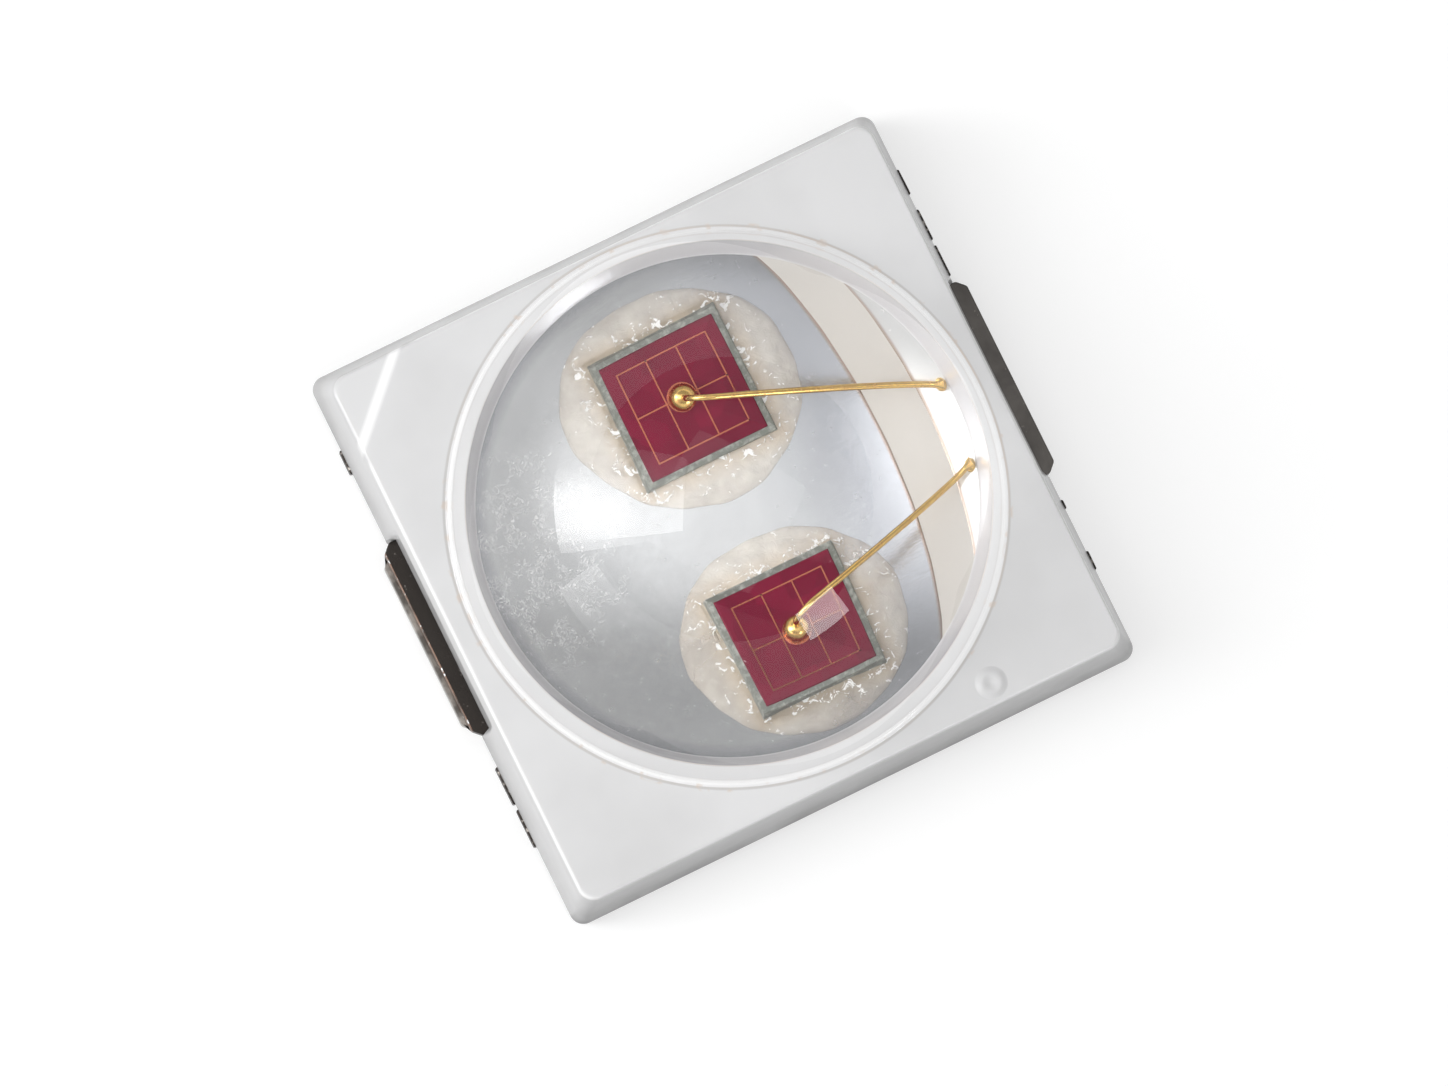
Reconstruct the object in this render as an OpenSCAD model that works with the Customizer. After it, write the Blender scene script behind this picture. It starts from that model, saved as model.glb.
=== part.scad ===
// Surface-mount light-emitting diode: white moulded housing on a two-part lead frame,
// two wire-bonded red chips in a round reflector cup, and a clear dome lens.
// Millimetres. The origin is the centre of the underside, +Z points up through the lens,
// the anode tab is on the +X side and the polarity corner is at -X +Y.

/* [Housing] */
// Length of the body along the leads
body_length = 3.5; // [3.4:0.05:4]
// Width of the body across the leads
body_width = 3.4; // [3.4:0.05:4]
// Height of the top face above the solder faces
body_height = 0.6; // [0.54:0.02:0.7]
// Draft of the walls above the parting line, in degrees
wall_draft = 11; // [4:1:13]
// Draft of the walls below the parting line, in degrees
foot_draft = 4; // [2:1:10]
// Radius of the upright corners at the parting line
corner_radius = 0.115; // [0.11:0.005:0.2]
// Radius of the edge round the top face
top_edge_radius = 0.02; // [0.01:0.005:0.03]
// Leg of the triangular polarity facet on the top face
polarity_leg = 0.48; // [0.3:0.02:0.5]
// Drop of the polarity facet at its corner
polarity_drop = 0.05; // [0.02:0.01:0.1]
// Radius of the gate mark on the top face
gate_radius = 0.1; // [0.06:0.01:0.12]
// Height of the gate mark
gate_height = 0.012; // [0.006:0.002:0.02]
// Distance of the gate mark from the end wall
gate_place = 0.85; // [0.7:0.05:0.9]

/* [Reflector cup] */
// Diameter of the cup at its floor
cup_floor_diameter = 2; // [1.96:0.01:2.2]
// Diameter of the cup at the top face
cup_top_diameter = 2.6; // [2.4:0.02:2.9]
// Place of the cup and the lens along the leads
cup_offset = 0.012; // [0:0.002:0.02]
// Place of the cup and the lens across the leads
cup_row_offset = 0.025; // [0:0.005:0.03]

/* [Leads] */
// Thickness of the lead frame
lead_thickness = 0.2; // [0.15:0.01:0.25]
// Depth of the half-etched step under the edges of the leads
lead_step_height = 0.1; // [0.06:0.01:0.12]
// Width of the half-etched step
lead_step_width = 0.1; // [0.05:0.01:0.15]
// Gap between the two leads inside the cup
lead_gap = 0.19; // [0.15:0.01:0.2]
// Distance from the centre to the middle of that gap
lead_gap_offset = 0.77; // [0.75:0.005:0.79]
// Radius of the bowed edges with which the leads face each other
lead_edge_radius = 3.6; // [3.2:0.1:6]
// Plastic left between the leads and the outer walls
lead_margin = 0.26; // [0.2:0.01:0.3]
// Radius of the leads' corners inside the plastic
lead_corner_radius = 0.12; // [0.05:0.01:0.2]
// Width of the cut tabs
tab_width = 1.2; // [0.8:0.05:1.2]
// Reach of the tabs past the widest outline of the body
tab_reach = 0.065; // [0.05:0.005:0.12]
// Length of the step that the cutting tool leaves at the top of the cathode's tab
tab_step_length = 0.026; // [0.01:0.002:0.04]
// Height of that step
tab_step_height = 0.08; // [0.04:0.01:0.1]
// Chamfer of the tabs' outer corners
tab_chamfer = 0.05; // [0.02:0.005:0.055]
// Notch at each end of the cathode's tab below the step
tab_notch = 0.06; // [0.02:0.005:0.1]
// Place of the cathode's tab across the leads
cathode_tab_place = 0.1; // [0:0.01:0.12]
// Place of the anode's tab across the leads
anode_tab_place = 0.03; // [0:0.01:0.05]
// Depth of the upright pocket in the leaning wall above a tab
tab_pocket = 0.055; // [0.03:0.005:0.07]

/* [Tie bars] */
// Width of the wide bar at the front of the left wall
front_left_width = 0.5; // [0.3:0.01:0.52]
// Place of that bar along the wall
front_left_place = -0.94; // [-1.1:0.01:-0.9]
// Width of the narrow bar at the back of the left wall
back_left_width = 0.15; // [0.1:0.01:0.2]
// Place of that bar along the wall
back_left_place = 1.21; // [1.1:0.01:1.3]
// Width of the narrow bar at the front of the right wall
front_right_width = 0.12; // [0.08:0.01:0.16]
// Place of that bar along the wall
front_right_place = -1.11; // [-1.2:0.01:-1.05]
// Width of the small nub between that bar and the tab
nub_width = 0.06; // [0.05:0.01:0.08]
// Place of the nub along the wall
nub_place = -0.76; // [-0.8:0.01:-0.74]
// Width of the wide bar at the back of the right wall
back_right_width = 0.42; // [0.3:0.01:0.42]
// Place of that bar along the wall
back_right_place = 0.88; // [0.88:0.01:0.92]
// Width of the bar next to the back right corner
corner_bar_width = 0.16; // [0.1:0.01:0.18]
// Place of that bar along the wall
corner_bar_place = 1.26; // [1.24:0.01:1.3]
// Width of the notch between the two strokes that cut a wide bar
bar_notch_width = 0.03; // [0.02:0.005:0.05]
// Depth of that notch
bar_notch_depth = 0.02; // [0.015:0.005:0.04]
// Thickness of the tie bars
tie_bar_height = 0.1; // [0.06:0.01:0.12]
// Length of the tie bars inside the plastic
tie_bar_depth = 0.2; // [0.1:0.01:0.22]
// Reach of the cut ends past the wall
tie_bar_reach = 0.012; // [0.004:0.002:0.03]

/* [Lens] */
// Diameter of the dome where it leaves the foot ring
dome_diameter = 3.09; // [3:0.01:3.1]
// Height of the dome above the foot ring
dome_height = 1.27; // [1.1:0.01:1.4]
// Outer diameter of the foot ring
foot_diameter = 3.14; // [3.12:0.01:3.15]
// Thickness of the foot ring
foot_thickness = 0.02; // [0.015:0.005:0.05]
// Radius of the foot ring's upper edge
foot_edge_radius = 0.008; // [0.004:0.001:0.01]

/* [Chips] */
// Side of the square carrier die
chip_side = 0.54; // [0.52:0.005:0.55]
// Thickness of the carrier die
chip_thickness = 0.085; // [0.08:0.005:0.12]
// Distance between the two chips' centres
chip_pitch = 0.995; // [0.95:0.005:1.01]
// Sideways place of both chips
chip_offset = 0.0625; // [0:0.0025:0.08]
// Place of the chips' middle along the row
chip_row_offset = -0.0125; // [-0.03:0.0025:0.03]
// Rim of the carrier left round the red layer
carrier_rim = 0.028; // [0.02:0.001:0.04]
// Thickness of the red layer
emitter_thickness = 0.012; // [0.01:0.001:0.03]
// Width of the gold contact lines
contact_line_width = 0.008; // [0.006:0.001:0.014]
// Thickness of the gold contact, inlaid in the red layer
contact_thickness = 0.004; // [0.002:0.001:0.008]
// Distance of the contact frame from the red layer's edge
contact_inset = 0.05; // [0.03:0.005:0.07]
// Diameter of the round bond pad
bond_pad_diameter = 0.116; // [0.112:0.002:0.12]

/* [Die attach] */
// Length of the upper adhesive pool
upper_pool_length = 0.9; // [0.88:0.01:0.94]
// Width of the upper adhesive pool
upper_pool_width = 0.82; // [0.8:0.01:0.88]
// Length of the lower adhesive pool
lower_pool_length = 0.87; // [0.85:0.01:0.9]
// Width of the lower adhesive pool
lower_pool_width = 0.84; // [0.82:0.01:0.88]
// Direction of the pools' length, in degrees from the leads
pool_turn = -26; // [-60:1:60]
// Unevenness of the pools' edge
pool_wave = 0.008; // [0:0.001:0.012]
// Height that a pool's crown would reach at its middle
pool_height = 0.09; // [0.07:0.005:0.1]
// Adhesive left under the chip
bond_line = 0.015; // [0.01:0.001:0.03]

/* [Bond wires] */
// Diameter of the gold wire
wire_diameter = 0.026; // [0.018:0.001:0.032]
// Diameter of the ball on the chip
ball_diameter = 0.108; // [0.09:0.002:0.11]
// Height of the ball
ball_height = 0.086; // [0.06:0.002:0.09]
// Straight rise of the wire above the ball
wire_rise = 0.05; // [0.03:0.005:0.1]
// Bend radius at the top of the loop
loop_radius = 0.09; // [0.06:0.005:0.12]
// Bend radius where the wire lands
landing_radius = 0.25; // [0.15:0.01:0.3]
// Length of the flattened stitch on its bump
stitch_length = 0.024; // [0.016:0.002:0.026]
// Diameter of the stitch bump at its foot
bump_diameter = 0.056; // [0.05:0.002:0.06]
// Diameter of the stitch bump at its flat top
bump_top_diameter = 0.044; // [0.036:0.002:0.048]
// Height of the stitch bump
bump_height = 0.016; // [0.012:0.001:0.022]
// Clearance between a stitch bump and the foot of the cup's wall
stitch_clearance = 0.006; // [0.004:0.001:0.03]
// Direction of the upper wire's stitch from the middle of the cup, in degrees
upper_stitch_angle = 5; // [0:0.5:12]
// Direction of the lower wire's stitch from the middle of the cup, in degrees
lower_stitch_angle = -14.5; // [-20:0.5:-10]

/* [Hidden] */
$fn = 64;

// Points used for each rounded profile corner
round_steps = 8;
// Spare length of a cutting solid past the face that it cuts
over = 0.5;
// Flat sides of a wire's section
wire_sides = 8;
// Flat sides of a pool's outline, its rings from edge to crown, and the arc that they cover
pool_sides = 30;
pool_rings = 5;
pool_arc = 56;

// Half the body, to the centres of its rounded corners
core_x = body_length / 2 - corner_radius;
core_y = body_width / 2 - corner_radius;
parting_z = lead_thickness;
foot_inset = parting_z * tan(foot_draft);
top_inset = (body_height - parting_z) * tan(wall_draft);

// Centre of the bowed gap, and the ends of the leads inside the body
lead_arc_x = lead_gap_offset - lead_edge_radius;
lead_end = body_length / 2 - lead_margin;
lead_half_width = body_width / 2 - lead_margin;
tab_end = body_length / 2 + tab_reach;

// Heights through one chip, from the lead up
carrier_z = lead_thickness + bond_line;
emitter_z = carrier_z + chip_thickness;
contact_z = emitter_z + emitter_thickness - contact_thickness;
chip_top_z = emitter_z + emitter_thickness;
emitter_side = chip_side - 2 * carrier_rim;
contact_side = emitter_side - 2 * contact_inset;
contact_bar_place = contact_side / 6;

// Radius of the dome's spherical surface, from its chord and its height
dome_sphere_radius = (dome_diameter * dome_diameter / 4 + dome_height * dome_height) / (2 * dome_height);
foot_top_z = body_height + foot_thickness;

// Places of the two chips, of the cup and of the two stitches
upper_chip = [chip_offset, chip_row_offset + chip_pitch / 2];
lower_chip = [chip_offset, chip_row_offset - chip_pitch / 2];
cup_place = [cup_offset, cup_row_offset];
stitch_reach = cup_floor_diameter / 2 - bump_diameter / 2 - stitch_clearance;
upper_stitch = cup_place + stitch_reach * [cos(upper_stitch_angle), sin(upper_stitch_angle)];
lower_stitch = cup_place + stitch_reach * [cos(lower_stitch_angle), sin(lower_stitch_angle)];

// Half axes of the two pools
upper_pool = [upper_pool_length / 2, upper_pool_width / 2];
lower_pool = [lower_pool_length / 2, lower_pool_width / 2];

// Crest and dimple of the gate mark, and its place against the front edge of the top face
gate_crest = gate_radius / 2;
gate_dimple_z = gate_height / 3;
gate_x = body_length / 2 - gate_place;
gate_y = -(body_width / 2 - top_inset - top_edge_radius - gate_radius);

// Points of an arc from one angle to another
function arc(x, y, radius, from, to) = [
    for (i = [0 : round_steps])
        let (angle = from + (to - from) * i / round_steps)
            [x + radius * cos(angle), y + radius * sin(angle)]
];

// Section of a wall: underside, drafted foot, parting line, drafted wall, rounded top edge
edge_z = body_height - top_edge_radius;
edge_x = corner_radius
    - (top_edge_radius + (edge_z - parting_z) * sin(wall_draft)) / cos(wall_draft);
wall_section = concat(
    [[0, 0], [corner_radius - foot_inset, 0], [corner_radius, parting_z]],
    arc(edge_x, edge_z, top_edge_radius, wall_draft, 90),
    [[0, body_height]]
);

// A wall of the given length, standing outwards along +X from the origin
module wall(length) {
    rotate([90, 0, 0])
        linear_extrude(length, center = true)
            polygon(wall_section);
}

// The outer form: a plain core, four walls and four quarter-round corners
module body_block() {
    translate([-core_x, -core_y, 0])
        cube([2 * core_x, 2 * core_y, body_height]);
    for (side = [0, 180]) {
        rotate(side) translate([core_x, 0, 0]) wall(2 * core_y);
        rotate(side + 90) translate([core_y, 0, 0]) wall(2 * core_x);
    }
    for (corner = [0 : 3])
        translate([
            (corner == 0 || corner == 3 ? 1 : -1) * core_x,
            (corner < 2 ? 1 : -1) * core_y,
            0
        ])
            rotate(corner * 90)
                rotate_extrude(angle = 90)
                    polygon(wall_section);
}

// The cone-shaped cup above the leads
module cup() {
    translate([cup_place[0], cup_place[1], lead_thickness])
        cylinder(
            h = body_height - lead_thickness,
            d1 = cup_floor_diameter,
            d2 = cup_top_diameter
        );
}

// Everything above the tilted plane of the polarity facet
module polarity_cut() {
    corner_x = body_length / 2 - top_inset;
    corner_y = body_width / 2 - top_inset;
    depth = polarity_leg / sqrt(2);
    reach = 2 * polarity_leg;
    translate([-corner_x + polarity_leg / 2, corner_y - polarity_leg / 2, body_height])
        rotate(135)
            rotate([0, atan(polarity_drop / depth), 0])
                translate([0, -reach, 0])
                    cube([reach, 2 * reach, over]);
}

// Low round blister with a dimple, left where the plastic was let into the mould
module gate_mark() {
    translate([gate_x, gate_y, body_height])
        rotate_extrude()
            polygon(concat(
                [[0, 0], [gate_radius, 0]],
                [for (i = [1 : round_steps])
                    let (share = i / round_steps)
                        [gate_radius - gate_crest * share, gate_height * sin(90 * share)]],
                [[0, gate_dimple_z]]
            ));
}

// A plate with the rounded outline that both leads are cut from, pulled in on every side
module frame_plate(inset, thickness) {
    x = lead_end - inset - lead_corner_radius;
    y = lead_half_width - inset - lead_corner_radius;
    linear_extrude(thickness) {
        square([2 * (x + lead_corner_radius), 2 * y], center = true);
        square([2 * x, 2 * (y + lead_corner_radius)], center = true);
        for (corner = [[x, y], [-x, y], [-x, -y], [x, -y]])
            translate(corner) circle(lead_corner_radius);
    }
}

// The round cutter that shapes an edge of the bowed gap
module gap_cutter(radius) {
    translate([lead_arc_x, 0, -over])
        cylinder(h = lead_thickness + 2 * over, r = radius);
}

// One layer of the cathode lead, inside the gap's smaller arc
module cathode_layer(inset, thickness) {
    intersection() {
        frame_plate(inset, thickness);
        gap_cutter(lead_edge_radius - lead_gap / 2 - inset);
    }
}

// One layer of the anode lead, outside the gap's larger arc
module anode_layer(inset, thickness) {
    difference() {
        frame_plate(inset, thickness);
        gap_cutter(lead_edge_radius + lead_gap / 2 + inset);
    }
}

// A plate of a tab that leaves the body along +X, with chamfered outer corners
module tab_plate(half_width, end_x, thickness) {
    start = lead_end - lead_corner_radius - lead_step_width;
    chamfer_x = end_x - tab_chamfer;
    chamfer_y = half_width - tab_chamfer;
    linear_extrude(thickness)
        polygon([
            [start, -half_width], [chamfer_x, -half_width], [end_x, -chamfer_y],
            [end_x, chamfer_y], [chamfer_x, half_width], [start, half_width]
        ]);
}

// The cathode's tab, as if on +X: a full plate, and a lower one that reaches further and is notched
// at both ends
module cathode_tab() {
    translate([0, cathode_tab_place, 0]) {
        tab_plate(tab_width / 2, tab_end - tab_step_length, lead_thickness);
        tab_plate(tab_width / 2 - tab_notch, tab_end, lead_thickness - tab_step_height);
    }
}

// The anode's tab is one full plate
module anode_tab() {
    translate([0, anode_tab_place, 0])
        tab_plate(tab_width / 2, tab_end, lead_thickness);
}

// Each lead has its full outline on top, a half-etched outline below, and its tab
module cathode_form() {
    translate([0, 0, lead_thickness - lead_step_height])
        cathode_layer(0, lead_step_height);
    cathode_layer(lead_step_width, lead_thickness - lead_step_height);
    mirror([1, 0, 0]) cathode_tab();
}

module anode_form() {
    translate([0, 0, lead_thickness - lead_step_height])
        anode_layer(0, lead_step_height);
    anode_layer(lead_step_width, lead_thickness - lead_step_height);
    anode_tab();
}

// Pocket over the tab on +X, which runs out where the wall leans back past its depth
module tab_pocket_cut(place) {
    translate([body_length / 2 - tab_pocket, place - tab_width / 2, lead_thickness])
        cube([over, tab_width, over]);
}

// A tie bar in a wall, at one side (-1 left, 1 right)
module tie_bar(side, place, width) {
    length = tie_bar_depth + tie_bar_reach;
    translate([
        side * (body_length / 2 + tie_bar_reach - length / 2),
        place,
        lead_thickness - tie_bar_height / 2
    ])
        cube([length, width, tie_bar_height], center = true);
}

// A wide tie bar, cut in two strokes that leave a notch in its end
module notched_bar(side, place, width) {
    difference() {
        tie_bar(side, place, width);
        translate([side * (body_length / 2 + tie_bar_reach), place, lead_thickness])
            cube([2 * bar_notch_depth, bar_notch_width, 4 * tie_bar_height], center = true);
    }
}

// The six bars, two in the left wall and four in the right wall
module front_left_bar() { notched_bar(-1, front_left_place, front_left_width); }
module back_left_bar() { tie_bar(-1, back_left_place, back_left_width); }
module front_right_bar() { tie_bar(1, front_right_place, front_right_width); }
module back_right_bar() { notched_bar(1, back_right_place, back_right_width); }
module corner_bar() { tie_bar(1, corner_bar_place, corner_bar_width); }
module nub_bar() { tie_bar(1, nub_place, nub_width); }

// Square plate centred on a chip
module chip_plate(place, side, from_z, thickness) {
    translate([place[0] - side / 2, place[1] - side / 2, from_z])
        cube([side, side, thickness]);
}

module carrier_form(place) {
    chip_plate(place, chip_side, carrier_z, chip_thickness);
}

module emitter_form(place) {
    chip_plate(place, emitter_side, emitter_z, emitter_thickness);
}

// Contact lines: a frame, two bars across it and arms that run from the pad to the frame
module contact_form(place) {
    half = contact_side / 2;
    line = contact_line_width;
    translate([place[0], place[1], contact_z])
        linear_extrude(contact_thickness) {
            difference() {
                square(contact_side, center = true);
                square(contact_side - 2 * line, center = true);
            }
            for (bar = [-1, 1])
                translate([bar * contact_bar_place - line / 2, -half])
                    square([line, contact_side]);
            translate([-half, -line / 2]) square([contact_side, line]);
            circle(d = bond_pad_diameter);
        }
}

// Distance of a pool's edge from its middle at an angle: an ellipse with three low waves
function pool_edge(axes, angle) =
    1 / norm([cos(angle - pool_turn) / axes[0], sin(angle - pool_turn) / axes[1]])
        + pool_wave * sin(3 * angle);

// Adhesive pool before the chip is set in it: rings that rise and close in as on an ellipsoid,
// up to a flat crown that lies inside the chip
module pool_form(place, axes) {
    points = [
        for (i = [0 : pool_rings])
            for (j = [0 : pool_sides - 1])
                let (
                    climb = pool_arc * i / pool_rings,
                    angle = 360 * j / pool_sides,
                    reach = pool_edge(axes, angle) * cos(climb)
                )
                    [reach * cos(angle), reach * sin(angle), pool_height * sin(climb)]
    ];
    sides = [
        for (i = [0 : pool_rings - 1])
            for (j = [0 : pool_sides - 1])
                let (next = (j + 1) % pool_sides, base = i * pool_sides)
                    [base + j, base + pool_sides + j, base + pool_sides + next, base + next]
    ];
    under = [for (j = [0 : pool_sides - 1]) j];
    crown = [for (j = [pool_sides - 1 : -1 : 0]) pool_rings * pool_sides + j];
    translate([place[0], place[1], lead_thickness])
        polyhedron(points, concat(sides, [under, crown]));
}

// Middle line of a wire in its upright plane, as [distance, height]: a straight rise, a bend
// over the top, a straight fall and a bend that lands on the bump. The fall angle is the one
// at which both bends are tangent to the straight stretch between them.
function wire_line(span) =
    let (
        rise_z = chip_top_z + ball_height + wire_rise,
        land_z = lead_thickness + bump_height + wire_diameter / 2,
        run = span - loop_radius,
        drop = land_z + landing_radius - rise_z,
        fall = asin((loop_radius + landing_radius) / norm([run, drop])) - atan2(drop, run)
    )
    concat(
        [[0, chip_top_z + ball_height - ball_diameter / 2]],
        arc(loop_radius, rise_z, loop_radius, 180, 90 - fall),
        arc(span, land_z + landing_radius, landing_radius, 270 - fall, 270),
        [[span + stitch_length, land_z]]
    );

// Direction of a line at one of its points
function direction(line, i) =
    let (step = line[min(i + 1, len(line) - 1)] - line[max(i - 1, 0)])
        step / norm(step);

// Tube of flat facets along a line in the upright plane, with the line's ends closed
module tube(line) {
    rings = len(line);
    radius = wire_diameter / 2 / cos(180 / wire_sides);
    points = [
        for (i = [0 : rings - 1])
            for (j = [0 : wire_sides - 1])
                let (
                    along = direction(line, i),
                    turn = 360 * (j + 0.5) / wire_sides,
                    side = radius * cos(turn)
                )
                    [line[i][0] - side * along[1], radius * sin(turn), line[i][1] + side * along[0]]
    ];
    sides = [
        for (i = [0 : rings - 2])
            for (j = [0 : wire_sides - 1])
                let (next = (j + 1) % wire_sides, base = i * wire_sides)
                    [base + j, base + next, base + wire_sides + next, base + wire_sides + j]
    ];
    first = [for (j = [wire_sides - 1 : -1 : 0]) j];
    last = [for (j = [0 : wire_sides - 1]) (rings - 1) * wire_sides + j];
    polyhedron(points, concat(sides, [first, last]));
}

// Ball on a chip's bond pad and the wire that loops from it to a bump
module wire_form(place, stitch) {
    step = stitch - place;
    translate([place[0], place[1], 0]) rotate(atan2(step[1], step[0])) {
        translate([0, 0, chip_top_z])
            intersection() {
                translate([0, 0, ball_height - ball_diameter / 2]) sphere(d = ball_diameter);
                cylinder(h = 2 * ball_height, d = 2 * ball_diameter);
            }
        tube(wire_line(norm(step)));
    }
}

// Squashed gold bump under a stitch
module bump_form(place, stitch) {
    step = stitch - place;
    translate([place[0], place[1], lead_thickness])
        rotate(atan2(step[1], step[0]))
            translate([norm(step), 0, 0])
                cylinder(h = bump_height, d1 = bump_diameter, d2 = bump_top_diameter);
}

// Dome, foot ring and cup filling before the inner pieces are set in it
module lens_block() {
    shoulder = foot_diameter / 2 - foot_edge_radius;
    translate([cup_place[0], cup_place[1], 0]) {
        rotate_extrude()
            polygon(concat(
                [[0, lead_thickness], [cup_floor_diameter / 2, lead_thickness]],
                [[cup_top_diameter / 2, body_height], [foot_diameter / 2, body_height]],
                arc(shoulder, foot_top_z - foot_edge_radius, foot_edge_radius, 0, 90),
                [[0, foot_top_z]]
            ));
        translate([0, 0, foot_top_z + dome_height - dome_sphere_radius])
            intersection() {
                sphere(dome_sphere_radius);
                translate([0, 0, dome_sphere_radius - dome_height])
                    cylinder(h = 2 * dome_height, d = foot_diameter);
            }
    }
}

module housing() {
    color("gainsboro") difference() {
        union() {
            difference() {
                body_block();
                polarity_cut();
            }
            gate_mark();
        }
        cup();
        cathode_form();
        anode_form();
        mirror([1, 0, 0]) tab_pocket_cut(cathode_tab_place);
        tab_pocket_cut(anode_tab_place);
        front_left_bar();
        back_left_bar();
        front_right_bar();
        back_right_bar();
        corner_bar();
        nub_bar();
    }
}

module cathode_lead() { color("silver") cathode_form(); }
module anode_lead() { color("silver") anode_form(); }
module tie_bar_front_left() { color("dimgray") front_left_bar(); }
module tie_bar_back_left() { color("dimgray") back_left_bar(); }
module tie_bar_front_right() { color("dimgray") front_right_bar(); }
module tie_bar_back_right() { color("dimgray") back_right_bar(); }
module tie_bar_corner() { color("dimgray") corner_bar(); }
module tie_bar_nub() { color("dimgray") nub_bar(); }

// Adhesive round one chip
module die_attach(place, axes) {
    color("linen") difference() {
        pool_form(place, axes);
        carrier_form(place);
    }
}

// Red layer round its inlaid contact
module emitter(place) {
    color("brown") difference() {
        emitter_form(place);
        contact_form(place);
    }
}

module upper_die_attach() { die_attach(upper_chip, upper_pool); }
module lower_die_attach() { die_attach(lower_chip, lower_pool); }
module upper_chip_carrier() { color("darkslategray") carrier_form(upper_chip); }
module lower_chip_carrier() { color("darkslategray") carrier_form(lower_chip); }
module upper_emitter() { emitter(upper_chip); }
module lower_emitter() { emitter(lower_chip); }
module upper_contact_grid() { color("goldenrod") contact_form(upper_chip); }
module lower_contact_grid() { color("goldenrod") contact_form(lower_chip); }
module upper_bond_wire() { color("gold") wire_form(upper_chip, upper_stitch); }
module lower_bond_wire() { color("gold") wire_form(lower_chip, lower_stitch); }
module upper_stitch_bump() { color("gold") bump_form(upper_chip, upper_stitch); }
module lower_stitch_bump() { color("gold") bump_form(lower_chip, lower_stitch); }

module lens() {
    color("white", 0.4) difference() {
        lens_block();
        pool_form(upper_chip, upper_pool);
        pool_form(lower_chip, lower_pool);
        for (pair = [[upper_chip, upper_stitch], [lower_chip, lower_stitch]]) {
            carrier_form(pair[0]);
            emitter_form(pair[0]);
            wire_form(pair[0], pair[1]);
            bump_form(pair[0], pair[1]);
        }
    }
}

housing();
cathode_lead();
anode_lead();
tie_bar_front_left();
tie_bar_back_left();
tie_bar_front_right();
tie_bar_back_right();
tie_bar_corner();
tie_bar_nub();
upper_die_attach();
lower_die_attach();
upper_chip_carrier();
lower_chip_carrier();
upper_emitter();
lower_emitter();
upper_contact_grid();
lower_contact_grid();
upper_bond_wire();
lower_bond_wire();
upper_stitch_bump();
lower_stitch_bump();
lens();
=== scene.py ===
"""Dresses a surface-mount light-emitting diode: white moulded housing, silver leads, two red chips
on cream adhesive, gold bond wires and a clear dome lens, on a white studio floor."""

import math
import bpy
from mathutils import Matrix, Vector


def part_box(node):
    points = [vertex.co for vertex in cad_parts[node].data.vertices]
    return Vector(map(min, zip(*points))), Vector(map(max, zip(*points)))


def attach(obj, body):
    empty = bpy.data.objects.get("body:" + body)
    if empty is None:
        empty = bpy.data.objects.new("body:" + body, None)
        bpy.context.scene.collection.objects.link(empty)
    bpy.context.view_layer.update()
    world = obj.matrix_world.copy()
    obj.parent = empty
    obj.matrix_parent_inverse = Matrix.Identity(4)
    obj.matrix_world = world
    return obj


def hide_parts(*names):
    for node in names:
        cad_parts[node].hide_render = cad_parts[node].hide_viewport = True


bl_info = {
    "name": "Domed Diode",
    "version": (1, 0, 0),
    "blender": (4, 5, 0),
    "location": "View3D > Sidebar > Diode",
    "description": "Builds the visible pieces of a surface-mount diode with a dome lens",
    "category": "Object",
}

import bpy
import numpy as np
from bpy.props import FloatProperty, FloatVectorProperty, PointerProperty
from mathutils import Matrix, Vector

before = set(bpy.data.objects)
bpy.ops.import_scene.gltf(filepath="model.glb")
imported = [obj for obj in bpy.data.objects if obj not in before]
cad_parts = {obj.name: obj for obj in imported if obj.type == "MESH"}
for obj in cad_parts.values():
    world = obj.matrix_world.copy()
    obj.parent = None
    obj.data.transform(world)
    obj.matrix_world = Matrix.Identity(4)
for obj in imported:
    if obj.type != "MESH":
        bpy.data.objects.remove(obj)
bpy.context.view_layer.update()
MM = 0.001


def corners_of(node):
    """Lowest and highest corner of a node of the frame, in metres."""
    low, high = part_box(node)
    return np.array(low), np.array(high)


BODY_LOW, BODY_HIGH = corners_of("housing")
LENS_LOW, LENS_HIGH = corners_of("lens")
CATHODE_LOW, CATHODE_HIGH = corners_of("cathode_lead")
ANODE_HIGH = corners_of("anode_lead")[1]
LEAD_TOP = CATHODE_HIGH[2]
OPTIC_MIDDLE = (LENS_LOW[:2] + LENS_HIGH[:2]) / 2
CHIP_SIDES = ("upper", "lower")
TIE_BARS = ("front_left", "back_left", "front_right", "back_right", "corner", "nub")


# Sizes and colours that a user may change

def length(name, description, millimetres):
    """A length property whose default is given in millimetres."""
    return FloatProperty(
        name=name, description=description, default=millimetres * MM, min=0.0, unit="LENGTH", precision=6
    )


def lean(name, description, degrees):
    """An angle property whose default is given in degrees."""
    return FloatProperty(name=name, description=description, default=math.radians(degrees), subtype="ANGLE")


def tint(name, description, colour):
    """A colour property in linear red, green and blue."""
    return FloatVectorProperty(
        name=name, description=description, default=colour, min=0.0, max=1.0, size=3, subtype="COLOR"
    )


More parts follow.
